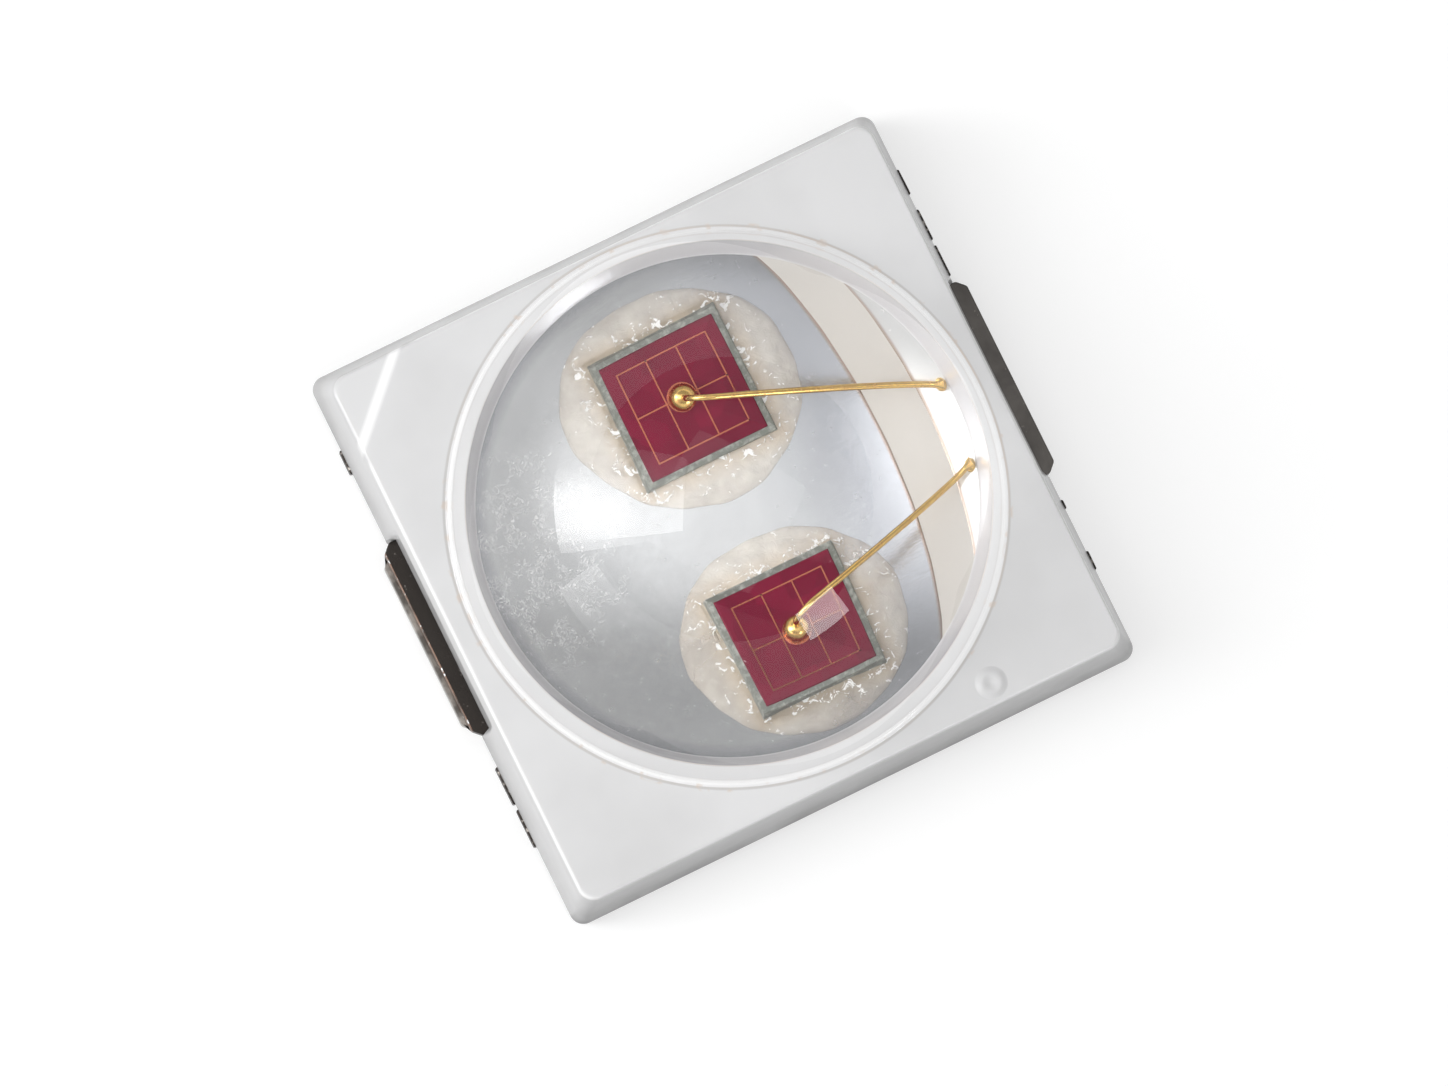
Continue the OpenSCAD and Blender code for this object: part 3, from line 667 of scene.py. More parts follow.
def adhesive_finish(colours):
    """Cream, half see-through adhesive: fine grain, and wrinkles with painted white glints on their crests,
    mostly beside the chips."""
    board, place = material_board("die_adhesive")
    clouds = board.noise(place, 4.0, 4.0)
    grain = board.noise(place, 46.0, 3.0, 0.6)
    wrinkles = board.noise(place, 24.0, 4.0, 0.6, 1.2)
    from_chip = from_chips(board, place)
    beside = board.spread(from_chip, 0.02, 0.1, 0.08, 0.0)
    cream = board.mix(board.spread(clouds, 0.3, 0.7), colours.adhesive, colours.adhesive_shade)
    cream = board.mix(board.spread(from_chip, 0.015, 0.08, 0.85, 0.0), cream, colours.adhesive_fillet)
    # Painted glints: white and opaque on the wrinkles' crests, more beside the chips
    crest = board.spread(board.chain("ADD", wrinkles, beside), 0.63, 0.69)
    return board.surface({
        "Base Color": board.mix(crest, cream, colours.adhesive_painted_glint),
        "Roughness": board.spread(grain, 0.3, 0.7, 0.12, 0.3),
        "Alpha": board.most(board.spread(clouds, 0.3, 0.7, 0.52, 0.26), crest),
        "Normal": board.bump(wrinkles, 0.01, 0.8, board.bump(grain, 0.0015, 0.6)),
    })


def carrier_finish(colours):
    """Grey-green sawn die, mottled with brighter chips."""
    board, place = material_board("carrier_die")
    mottle = board.noise(place, 30.0, 4.0, 0.7)
    return board.surface({
        "Base Color": board.mix(board.spread(mottle, 0.48, 0.72), colours.carrier, colours.carrier_edge),
        "Metallic": 0.35,
        "Roughness": board.spread(mottle, 0.3, 0.7, 0.3, 0.55),
        "Normal": board.bump(mottle, 0.003, 0.6),
    })


def red_finish(colours):
    """Polished raspberry layer: square tiles of slightly different red, faint clouds, and a few bright
    chips in the surface."""
    board, place = material_board("red_layer")
    tile_sockets = {"Vector": place, "Scale": 8.0, "Randomness": 0.55}
    tiles = board.add("TexVoronoi", tile_sockets, "Color", distance="CHEBYCHEV")
    tone = board.add("SeparateColor", {0: tiles})
    clouds = board.noise(place, 9.0, 3.0)
    tile_share = board.spread(tone, 0.2, 0.8, 0.0, 0.75)
    share = board.chain("ADD", tile_share, board.spread(clouds, 0.35, 0.7, 0.0, 0.35))
    red = board.mix(share, colours.red_layer, colours.red_shade)
    chips = board.spread(board.noise(place, 21.0, 4.0, 0.7, 0.6), 0.71, 0.75)
    return board.surface({
        "Base Color": board.mix(chips, red, colours.red_chip),
        "Roughness": board.spread(clouds, 0.3, 0.7, 0.1, 0.2),
        "IOR": 1.25,
        "Normal": board.bump(clouds, 0.0015, 0.5),
    })


def gold_finish(colours, name, colour):
    """Bright gold or copper with faint drawing marks."""
    board, place = material_board(name)
    marks = board.noise(place, 40.0, 3.0, 0.6)
    return board.surface({
        "Base Color": board.mix(board.spread(marks, 0.35, 0.75, 0.0, 0.5), colour, colours.copper),
        "Metallic": 1.0,
        "Roughness": board.spread(marks, 0.3, 0.7, 0.16, 0.3),
        "Normal": board.bump(marks, 0.0012, 0.4),
    })


def silicone_finish():
    """Clear silicone: true refraction, with a gloss that is barely uneven. Shadow rays pass partly
    straight through, so that lamps reach what is cast inside."""
    board, place = material_board("clear_silicone")
    glass = board.add("BsdfPrincipled", {
        "Base Color": WHITE,
        "Roughness": board.spread(board.noise(place, 3.0, 3.0), 0.4, 0.8, 0.0, 0.012),
        "IOR": 1.48,
        "Transmission Weight": 1.0,
    })
    clear = board.add("BsdfTransparent", {"Color": WHITE})
    passing = board.times(board.add("LightPath", output="Is Shadow Ray"), SILICONE_PASS)
    return board.end("Material", board.add("MixShader", {0: passing, 1: glass, 2: clear}))


# Pieces

# Counts of points: along a corner and a side of the body and across its top face; along the gap's edge
# and each bend of a lead; along a wire's rise, bends, fall and stitch; and along the foot's edge, the
# fillet and the dome of the lens
CORNER_POINTS, SIDE_POINTS, TOP_ROWS = 13, 150, 75
GAP_POINTS, LEAD_BEND_POINTS = 13, 7
RISE_POINTS, WIRE_BEND_POINTS, FALL_POINTS, STITCH_POINTS = 8, 24, 40, 9
FOOT_POINTS, FILLET_POINTS, DOME_POINTS = 12, 10, 170

# Counts of points round the gate mark, the bond pads, pools, wires, balls, bumps and the lens
GATE_COLUMNS, PAD_COLUMNS, POOL_COLUMNS, WIRE_COLUMNS = 72, 48, 240, 28
BALL_COLUMNS, BUMP_COLUMNS, LENS_COLUMNS = 48, 40, 320

# Counts of rows up the gate mark, pools, balls, collars and bumps
GATE_ROWS, POOL_ROWS, BALL_ROWS, COLLAR_ROWS, BUMP_ROWS = 28, 34, 26, 8, 14

# First seeds of the ripples on the tie bars, pools and bumps
BAR_SEED, POOL_SEED, BUMP_SEED = 3, 5, 11

# Rows of the housing: shares of the underside's width; inset and height of the worn lower edge; the row
# below the parting line; heights of the drafted wall above it, close together where the tab pockets run
# out; the distance from a bend of the row that keeps the face beside it flat; the cup's worn edge;
# depths down the cup; shares of its floor's radius
UNDER_SHARES = np.linspace(0.25, 0.97, 6)
WORN_FOOT = np.array([[0.008, 0.0], [0.002, 0.002], [0.0, 0.009]]) * MM
BELOW_PARTING = 0.006 * MM
WALL_CLIMB = np.array([0.001, 0.004, 0.05, 0.12, 0.19, 0.25, 0.278, 0.288, 0.32]) * MM
BESIDE_BEND = 0.004 * MM
CUP_LIP = 0.01 * MM
CUP_DEPTHS = np.array([0.003, 0.012, 0.05, 0.15, 0.25, 0.35, 0.392]) * MM
FLOOR_SHARES = np.array([0.995, 0.98, 0.85, 0.65, 0.45, 0.25, 0.1])

# Gate mark: depth of its dimple and sink of its edge, as shares of its height, and depth of its root
DIMPLE = 0.65
GATE_SINK = 0.04
GATE_ROOT = 0.01 * MM

# Bends of the tabs and tie bars, and the lengths and depth of the ripples on a sheared face
TAB_BEND = 0.012 * MM
SHEAR_WAVES = (0.03 * MM, 0.12 * MM)
SHEAR_DEPTH = 0.003 * MM

# Width from which a tie bar is sheared in two strokes, and the notch that this leaves
WIDE_BAR = 0.3 * MM
NOTCH_WIDTH, NOTCH_DEPTH = 0.03 * MM, 0.02 * MM

# Chips: bend of the corners, flare of the carrier's and the red layer's sides, and depth of that layer
# in the carrier
CHIP_BEND = 0.004 * MM
CARRIER_FLARE, LAYER_FLARE = 0.004 * MM, 0.002 * MM
LAYER_ROOT = 0.002 * MM

# Contacts: depth of the lines in the red layer, the small differences in height where they cross, how
# far the pad's worn edge and its face lie below the highest line, and the face's share of its radius
LINE_DEPTH = 0.004 * MM
LINE_STAGGER = 0.0002 * MM
PAD_EDGE_DROP, PAD_DROP = 0.0006 * MM, 0.0001 * MM
PAD_FACE = 0.97

# Pools: waves round the edge; small ripples there, as their count, height and turn by the seed; last
# angle of the climb in degrees; lengths of the wrinkles and how fast they grow from the edge; and depth
# of the foot in the lead
POOL_WAVES = 3
EDGE_RIPPLES = ((7, 0.0035 * MM, 1), (17, 0.002 * MM, 2))
POOL_CLIMB = 60
WRINKLE_WAVES = (0.05 * MM, 0.16 * MM)
WRINKLE_FADE = 2.2
POOL_ROOT = 0.001 * MM

# Stitch: distance before the landing at which the wire starts to flatten, the length over which it does,
# and the shares by which it gets thinner and wider. Ball: depth in the pad, angle from its top to its
# collar, the collar's height and its radius as a share of the wire's
PRESS_START, PRESS_LENGTH = 0.02 * MM, 0.05 * MM
PRESSED_THIN, PRESSED_WIDE = 0.55, 0.9
BALL_ROOT = 0.001 * MM
COLLAR_ANGLE = 0.24
COLLAR_HEIGHT = 0.022 * MM
COLLAR_SHARE = 1.06

# Bumps: power that squares their profile, radius of their last row and sink of their foot as shares of
# their reach and height, and lengths and share of their ripples
BUMP_POWER = 0.6
BUMP_TIP, BUMP_SINK = 0.05, 0.05
BUMP_WAVES = (0.04 * MM, 0.1 * MM)
BUMP_RIPPLE = 0.06

# Chamfer under the outer edge of the lens's foot
FOOT_CHAMFER = 0.004 * MM


def wall_frame(arc_points, side_points):
    """Anchors and outward directions round a square of half side 1, anticlockwise. Each corner's
    points share the corner and turn through a quarter; each side's points run from one corner to
    the next and look straight out. A rounded outline is the anchors times the half sizes less the
    corner radius, plus the corner radius times the directions."""
    centres = np.array([[1.0, 1.0], [-1.0, 1.0], [-1.0, -1.0], [1.0, -1.0]])
    quarter = np.arange(4)[:, None] * np.pi / 2
    arc_angle = quarter + np.linspace(0, np.pi / 2, arc_points)
    arc_anchor = np.repeat(centres[:, None], arc_points, 1)
    share = np.linspace(0, 1, side_points + 2)[1:-1, None]
    side_anchor = centres[:, None] + share * (np.roll(centres, -1, 0) - centres)[:, None]
    side_angle = np.repeat(quarter + np.pi / 2, side_points, 1)
    anchor = np.concatenate([arc_anchor, side_anchor], 1).reshape(-1, 2)
    angle = np.concatenate([arc_angle, side_angle], 1).reshape(-1)
    return anchor, np.stack([np.cos(angle), np.sin(angle)], -1)


def wall_profile(sizes):
    """Inset and height up a wall: underside, worn lower edge, drafted foot, parting line, drafted wall
    with rows where the tab pockets run out, rounded upper edge. The rounding is an arc that leaves the
    wall at its draft and ends level."""
    parting = LEAD_TOP
    foot = parting * math.tan(sizes.foot_draft)
    low = sizes.set_back
    lower = np.array([[foot / 2, parting / 2], [0.0, parting - BELOW_PARTING], [0.0, parting]])
    lean_share = math.tan(sizes.wall_draft)
    middle = np.stack([WALL_CLIMB * lean_share, parting + WALL_CLIMB], -1)
    radius = sizes.edge_radius
    edge_z = sizes.body_height - radius
    centre = (radius + (edge_z - parting) * math.sin(sizes.wall_draft)) / math.cos(sizes.wall_draft)
    upper = arc(-centre, edge_z, radius, math.degrees(sizes.wall_draft), 90, 9)
    upper[:, 0] *= -1
    join = upper[:1] - [[BESIDE_BEND * lean_share, BESIDE_BEND]]
    level = upper[-1:] + [[BESIDE_BEND, 0.0]]
    return np.concatenate([WORN_FOOT + [foot, low], lower, middle, join, upper, level])


def top_inset(sizes):
    """How far a wall leans in between the parting line and the top face, by its draft."""
    return (sizes.body_height - LEAD_TOP) * math.tan(sizes.wall_draft)


def polarity_hinge(sizes):
    """Distance of the polarity facet's hinge line from the middle: the top face's two half sides, less
    the facet's leg, over the root of two."""
    return (BODY_HIGH[0] + BODY_HIGH[1] - 2 * top_inset(sizes) - sizes.polarity_leg) / math.sqrt(2)


def polarity_lowering(sizes, x, y):
    """Drop of the top face towards the polarity corner, by the distance past the facet's step: half
    the step's height times one plus the hyperbolic tangent of the distance over the step's half
    width, then a steady slope that uses up the rest of the drop at the corner."""
    depth = sizes.polarity_leg / math.sqrt(2)
    past_step = (y - x) / math.sqrt(2) - polarity_hinge(sizes) - sizes.polarity_shift
    step = sizes.polarity_step / 2 * (1 + np.tanh(past_step / sizes.polarity_step_width))
    slope = (sizes.polarity_drop - sizes.polarity_step) / (depth - sizes.polarity_shift)
    return step + slope * np.clip(past_step, 0, None)


def gate_skin(sizes):
    """Gate mark: a low blister turned about an upright axis. Its height is a raised cosine over its
    outer half and a dimple with a round bottom over its inner half."""
    middle = (
        BODY_HIGH[0] - sizes.gate_place,
        BODY_LOW[1] + top_inset(sizes) + sizes.edge_radius + sizes.gate_radius,
    )
    share = np.linspace(1, 0, GATE_ROWS)
    outer = (1 - np.cos(np.pi * np.clip((1 - share) * 2, 0, 1))) / 2
    inner = np.clip(1 - share * 2, 0, 1)
    dimple = DIMPLE * inner**2 * (3 - 2 * inner)
    height = sizes.body_height + sizes.gate_height * (outer - dimple - GATE_SINK)
    radius = np.concatenate([[0], share * sizes.gate_radius])
    height = np.concatenate([[sizes.body_height - GATE_ROOT], height])
    return lathe(radius, height, middle, GATE_COLUMNS)


def housing_skin(sizes, leads):
    """Housing as one skin from the middle of the underside to the middle of the cup's floor. Rows
    under the body shrink to a point; wall rows are the anchors plus the reach times the directions;
    rows on the top face blend from the outline to a circle; cup rows are circles down a cone."""
    anchor, outward = wall_frame(CORNER_POINTS, SIDE_POINTS)
    profile = wall_profile(sizes)
    inset, climb = profile[:, 0, None, None], profile[:, 1]
    up_wall = np.clip((climb - LEAD_TOP) / (sizes.body_height - LEAD_TOP), 0, 1)[:, None, None]
    radius = sizes.corner_radius + (sizes.top_corner_radius - sizes.corner_radius) * up_wall
    walls = raised(anchor * (BODY_HIGH[:2] - inset - radius) + radius * outward, climb[:, None])
    tab_place = np.where(outward[:, 0] < 0, leads.cathode_tab_place, leads.anode_tab_place)
    from_tab = np.abs(walls[..., 1] - tab_place)
    on_end_wall = np.abs(outward[:, 0]) > 0.99
    over_tab = on_end_wall & (from_tab < leads.tab_width / 2)
    past_pocket = np.clip(np.abs(walls[..., 0]) - (BODY_HIGH[0] - sizes.pocket), 0, None)
    walls[..., 0] -= outward[:, 0] * past_pocket * over_tab

    under = walls[0] * UNDER_SHARES[:, None, None]
    under[..., 2] = walls[0, 0, 2]

    rim = walls[-1, :, :2]
    ray = rim - OPTIC_MIDDLE
    ray = ray / np.linalg.norm(ray, axis=1, keepdims=True)
    cup_edge = sizes.cup_top_radius + CUP_LIP
    share = np.linspace(0, 1, TOP_ROWS + 1)[1:, None, None]
    top = raised((1 - share) * rim + share * (OPTIC_MIDDLE + cup_edge * ray), sizes.body_height)

    floor_z = LEAD_TOP - sizes.set_back
    slope = (sizes.cup_top_radius - sizes.cup_floor_radius) / (sizes.body_height - LEAD_TOP)
    cup_z = sizes.body_height - CUP_DEPTHS
    cup_radius = sizes.cup_floor_radius + (cup_z - LEAD_TOP) * slope
    cup_z = np.concatenate([cup_z, np.full(len(FLOOR_SHARES), floor_z)])
    cup_radius = np.concatenate([cup_radius, sizes.cup_floor_radius * FLOOR_SHARES])
    cup = raised(OPTIC_MIDDLE + cup_radius[:, None, None] * ray, cup_z[:, None])

    rings = np.concatenate([under, walls, top, cup])
    outside = rings[: len(under) + len(walls) + len(top)]
    weight = np.clip((outside[..., 2] - LEAD_TOP) / (sizes.body_height - LEAD_TOP), 0, 1)
    outside[..., 2] -= weight * polarity_lowering(sizes, outside[..., 0], outside[..., 1])
    body = closed_skin(rings, (0.0, 0.0, sizes.set_back), (*OPTIC_MIDDLE, floor_z))
    return joined(body, gate_skin(sizes))


def gap_middle(sizes):
    """Place along X of the middle of the arc that the gap between the leads follows."""
    return CATHODE_HIGH[0] + sizes.gap / 2 - sizes.gap_radius


def lead_skin(sizes, side, tab_end, tab_place, tab_step, tab_notch):
    """One lead on the +X side, mirrored for the other: a stack of rounded outlines. The lower ones
    are pulled in by the half-etched step but carry the long tab plate, notched at its ends; the upper
    ones are the full plate with a tab plate shorter by the tab's step. The edge that faces the other
    lead follows a circle, whose radius is the gap's radius more or less half the gap. Worn edges are
    outlines pulled in by their width, and one more keeps each face flat. The faces are closed on a
    point beside the tab, from which every edge is in sight."""
    end, half = sizes.plate_end, CATHODE_HIGH[1]
    step = sizes.step_width

    def outline(inset, tab_half, reach):
        chamfer = sizes.tab_chamfer
        high_x, half_y = end - inset, half - inset
        low_y, high_y = tab_place - tab_half, tab_place + tab_half
        edge_radius = sizes.gap_radius + side * (sizes.gap / 2 + inset)
        edge_y = half_y * np.linspace(1, -1, GAP_POINTS)
        edge_x = side * (gap_middle(sizes) + np.sqrt(edge_radius**2 - edge_y**2))
        corners = [
            (high_x, -half_y), (high_x, low_y), (reach - chamfer, low_y), (reach, low_y + chamfer),
            (reach, high_y - chamfer), (reach - chamfer, high_y), (high_x, high_y), (high_x, half_y),
        ]
        corners += list(zip(edge_x, edge_y))
        bend = sizes.corner_radius
        radii = [bend] + [TAB_BEND] * 6 + [bend] + [TAB_BEND * 2] * GAP_POINTS
        return rounded_outline(corners, radii, LEAD_BEND_POINTS)

    lower = outline(step, sizes.tab_width / 2 - tab_notch, tab_end)
    upper = outline(0.0, sizes.tab_width / 2, tab_end - tab_step)
    on_tab = np.repeat([0] + [1] * 6 + [0] * (1 + GAP_POINTS), LEAD_BEND_POINTS)
    shelf = LEAD_TOP - np.where(on_tab, sizes.tab_step_height, sizes.step_height)
    edge = sizes.edge
    rings = stacked(
        [
            pulled_in(lower, edge * 1.5), pulled_in(lower, edge), pulled_in(lower, edge * 0.3), lower, lower,
            pulled_in(lower, edge * 0.5), upper, upper, pulled_in(upper, edge * 0.3), pulled_in(upper, edge),
            pulled_in(upper, edge * 1.5),
        ],
        [
            0.0, 0.0, edge * 0.3, edge, shelf - edge, shelf, shelf, LEAD_TOP - edge,
            LEAD_TOP - edge * 0.3, LEAD_TOP, LEAD_TOP,
        ],
    )
    fan_x = end - 2 * step
    points, faces = closed_skin(rings, (fan_x, tab_place, 0.0), (fan_x, tab_place, LEAD_TOP))
    if side < 0:
        points = points * np.array([-1, 1, 1])
        faces = [face[::-1] for face in faces]
    return points, faces


def tie_bar_skin(low, high, seed):
    """A cut tie bar: a stack of rounded rectangles along X. The outer end is sheared, so its outline
    is uneven by a few ripples and its face bulges."""
    outward = np.sign(low[0] + high[0])
    start, end = (low[0], high[0]) if outward > 0 else (high[0], low[0])
    corners = [(low[1], low[2]), (high[1], low[2]), (high[1], high[2]), (low[1], high[2])]
    section = rounded_outline(corners, [TAB_BEND] * 4, 6)
    share = np.array([0.0, 0.55, 0.8, 0.93, 0.98, 1.0])
    shrink = np.array([0.0, 0.0, 0.0, 0.001, 0.003, 0.008]) * MM
    rings = np.empty((len(share), len(section), 3))
    rings[..., 0] = start + (end - start) * share[:, None]
    for row, inset in enumerate(shrink):
        rings[row, :, 1:] = pulled_in(section, inset)
    rough = ripples(rings[..., 1:], *SHEAR_WAVES, seed) * SHEAR_DEPTH
    rings[..., 0] -= outward * np.abs(rough) * (share[:, None] > 0.9)
    middle_y, middle_z = (low[1:] + high[1:]) / 2
    points, faces = closed_skin(rings, (start, middle_y, middle_z), (end, middle_y, middle_z))
    if outward < 0:
        faces = [face[::-1] for face in faces]
    return points, faces


def notched_bar_skin(low, high, seed):
    """A wide tie bar, sheared in two strokes: two bars side by side with a notch between their ends,
    and a bar behind the notch that stops short of the wall."""
    middle = (low[1] + high[1]) / 2
    outward = np.sign(low[0] + high[0])
    first_high = np.array([high[0], middle - NOTCH_WIDTH / 2, high[2]])
    second_low = np.array([low[0], middle + NOTCH_WIDTH / 2, low[2]])
    behind_low, behind_high = low.copy(), high.copy()
    behind_low[1], behind_high[1] = middle - NOTCH_WIDTH, middle + NOTCH_WIDTH
    behind_low[0] += NOTCH_DEPTH * (outward < 0)
    behind_high[0] -= NOTCH_DEPTH * (outward > 0)
    return joined(
        tie_bar_skin(low, first_high, seed), tie_bar_skin(second_low, high, seed + 20),
        tie_bar_skin(behind_low, behind_high, seed + 40),
    )


def plate_skin(low, high, edge, flare):
    """A square plate of a chip: a stack of rounded squares, with the upper edge bevelled and the
    sides leaning out towards the foot by the flare."""
    middle = (low[:2] + high[:2]) / 2

    def square(inset):
        a, b = low[:2] + inset, high[:2] - inset
        corners = [(a[0], a[1]), (b[0], a[1]), (b[0], b[1]), (a[0], b[1])]
        return rounded_outline(corners, [CHIP_BEND] * 4, 5)

    rings = stacked(
        [square(0.0), square(flare), square(flare + edge * 0.3), square(flare + edge)],
        [low[2], high[2] - edge, high[2] - edge * 0.3, high[2]],
    )
    return closed_skin(rings, (*middle, low[2]), (*middle, high[2]))


def bars_skin(lows, highs):
    """Straight bars given by their lowest and highest corners: eight points and six faces each."""
    pick = np.array([[x, y, z] for z in (0, 1) for y in (0, 1) for x in (0, 1)])
    points = np.where(pick[None] == 1, highs[:, None], lows[:, None]).reshape(-1, 3)
    sides = np.array([[0, 2, 3, 1], [4, 5, 7, 6], [0, 1, 5, 4], [2, 6, 7, 3], [0, 4, 6, 2], [1, 3, 7, 5]])
    faces = (np.arange(len(lows))[:, None, None] * 8 + sides).reshape(-1, 4)
    return points, faces.tolist()


def contact_skin(sizes, low, high):
    """Contact of one chip: four frame lines, two bars, one cross arm and a round pad. Each line is a
    bar from one named point to another, widened by half the line width."""
    middle = (low[:2] + high[:2]) / 2
    half = (high[0] - low[0]) / 2 - sizes.frame_inset
    line = sizes.line_width / 2
    bar = half / 3
    starts = np.array([
        [-half, -half], [-half, half - 2 * line], [-half, -half], [half - 2 * line, -half],
        [-bar - line, -half], [bar - line, -half], [-half, -line],
    ])
    ends = np.array([
        [half, -half + 2 * line], [half, half], [-half + 2 * line, half], [half, half],
        [-bar + line, half], [bar + line, half], [half, line],
    ])
    base, crest = high[2] - LINE_DEPTH, high[2]
    lift = np.arange(len(starts))[:, None] % 3 * LINE_STAGGER
    lows = np.concatenate([starts + middle, np.full_like(lift, base)], 1)
    highs = np.concatenate([ends + middle, crest - lift], 1)
    pad = sizes.pad_diameter / 2
    radius = np.array([0, pad, pad, pad * PAD_FACE, 0])
    height = np.array([base, base, crest - PAD_EDGE_DROP, crest - PAD_DROP, crest - PAD_DROP])
    return joined(bars_skin(lows, highs), lathe(radius, height, middle, PAD_COLUMNS))


def pool_skin(sizes, middle, half_length, half_width, seed):
    """Adhesive pool: rings that close in by a cosine and rise by a sine, as on an ellipsoid. The
    edge is an ellipse with three low waves and small ripples, and the skin carries wrinkles that
    fade out at the edge."""
    angle = np.linspace(0, 2 * np.pi, POOL_COLUMNS, endpoint=False)
    from_length = angle - sizes.turn
    ellipse = 1 / np.hypot(np.cos(from_length) / half_length, np.sin(from_length) / half_width)
    edge = ellipse + sizes.wave * np.sin(POOL_WAVES * angle)
    for count, tall, turns in EDGE_RIPPLES:
        edge += tall * np.sin(count * angle + turns * seed)
    climb = np.radians(np.linspace(0, POOL_CLIMB, POOL_ROWS))
    circle = np.stack([np.cos(angle), np.sin(angle)], -1)
    flat = middle + (edge * np.cos(climb)[:, None])[..., None] * circle
    rise = np.sin(climb)[:, None]
    wrinkles = np.clip(rise * WRINKLE_FADE, 0, 1) * sizes.wrinkle * ripples(flat, *WRINKLE_WAVES, seed)
    rings = raised(flat, LEAD_TOP + sizes.height * rise + wrinkles)
    foot = LEAD_TOP - POOL_ROOT
    rings[0, :, 2] = foot
    return closed_skin(rings, (*middle, foot), (*middle, rings[-1, :, 2].mean()))


def wire_line(sizes, span, chip_top, land):
    """Middle line of a wire in its upright plane: a straight rise, a bend over the top, a straight
    fall and a bend that lands. The fall is the angle at which both bends touch the straight."""
    rise = chip_top + sizes.ball_height + sizes.rise
    run = span - sizes.loop_radius
    centre = land + sizes.landing_radius
    drop = centre - rise
    both = sizes.loop_radius + sizes.landing_radius
    fall = math.degrees(math.asin(both / math.hypot(run, drop)) - math.atan2(drop, run))
    start = np.array([[0.0, chip_top + sizes.ball_height - sizes.ball_diameter / 2]])
    over = arc(sizes.loop_radius, rise, sizes.loop_radius, 180, 90 - fall, WIRE_BEND_POINTS)
    landing = arc(span, centre, sizes.landing_radius, 270 - fall, 270, WIRE_BEND_POINTS)
    share = np.linspace(0, 1, FALL_POINTS)[1:-1, None]
    straight = over[-1] + share * (landing[0] - over[-1])
    climb = start + np.linspace(0, 1, RISE_POINTS)[:-1, None] * (over[0] - start)
    stitch = landing[-1] + np.linspace(0, 1, STITCH_POINTS)[1:, None] * [[sizes.stitch_length, 0.0]]
    return np.concatenate([climb, over, straight, landing, stitch])


def wire_skin(sizes, chip, chip_top, stitch, land):
    """Wire and ball of one chip. The wire is a round section carried along its middle line, pressed
    flat and wide over the stitch; the ball is a truncated sphere with a collar, turned about the
    upright axis through the bond pad."""
    step = stitch - chip
    span = np.linalg.norm(step)
    ahead = step / span
    line = wire_line(sizes, span, chip_top, land)
    along = np.gradient(line, axis=0)
    along /= np.linalg.norm(along, axis=1, keepdims=True)
    pressed = np.clip((line[:, 0] - span + PRESS_START) / PRESS_LENGTH, 0, 1)
    radius = sizes.diameter / 2
    thick = radius * (1 - PRESSED_THIN * pressed)
    wide = radius * (1 + PRESSED_WIDE * pressed)
    turn = np.linspace(0, 2 * np.pi, WIRE_COLUMNS, endpoint=False)
    lift = thick[:, None] * np.cos(turn)
    aside = wide[:, None] * np.sin(turn)
    flat = line[:, :1] - lift * along[:, 1:]
    rings = np.empty(lift.shape + (3,))
    rings[..., 0] = chip[0] + flat * ahead[0] - aside * ahead[1]
    rings[..., 1] = chip[1] + flat * ahead[1] + aside * ahead[0]
    rings[..., 2] = line[:, 1:] + lift * along[:, :1] - (radius - thick)[:, None]
    rings = rings[:, ::-1]
    tube = closed_skin(rings, rings[0].mean(0), rings[-1].mean(0))

    ball = sizes.ball_diameter / 2
    centre = chip_top + sizes.ball_height - ball
    seat = math.asin(max(-1.0, (chip_top - centre) / ball))
    angle = np.linspace(seat, np.pi / 2 - COLLAR_ANGLE, BALL_ROWS)
    top = np.array([ball * math.sin(COLLAR_ANGLE), centre + ball * math.cos(COLLAR_ANGLE)])
    neck = radius * COLLAR_SHARE
    share = np.linspace(0, 1, COLLAR_ROWS)
    collar_radius = neck + (top[0] - neck) * (1 - share) ** 2
    collar_height = top[1] + COLLAR_HEIGHT * share
    profile_radius = np.concatenate([[0], ball * np.cos(angle), collar_radius[1:], [0]])
    profile_height = np.concatenate([
        [chip_top - BALL_ROOT], centre + ball * np.sin(angle), collar_height[1:], collar_height[-1:],
    ])
    return joined(tube, lathe(profile_radius, profile_height, chip, BALL_COLUMNS))


def bump_skin(low, high, seed):
    """Stitch bump: a squashed drop turned about its axis, its height a quarter ellipse, with its
    outline uneven by a few ripples."""
    middle = (low[:2] + high[:2]) / 2
    reach = (high[0] - low[0]) / 2
    angle = np.linspace(0, np.pi / 2, BUMP_ROWS)
    radius = np.concatenate([[0], reach * np.cos(angle) ** BUMP_POWER, [0]])
    radius[-2] = reach * BUMP_TIP
    height = low[2] + (high[2] - low[2]) * np.concatenate([[-BUMP_SINK], np.sin(angle), [1.0]])
    points, faces = lathe(radius, height, middle, BUMP_COLUMNS)
    away = points[:, :2] - middle
    rough = ripples(points[:, :2], *BUMP_WAVES, seed)
    points[:, :2] = middle + away * (1 + BUMP_RIPPLE * rough)[:, None]
    return points, faces


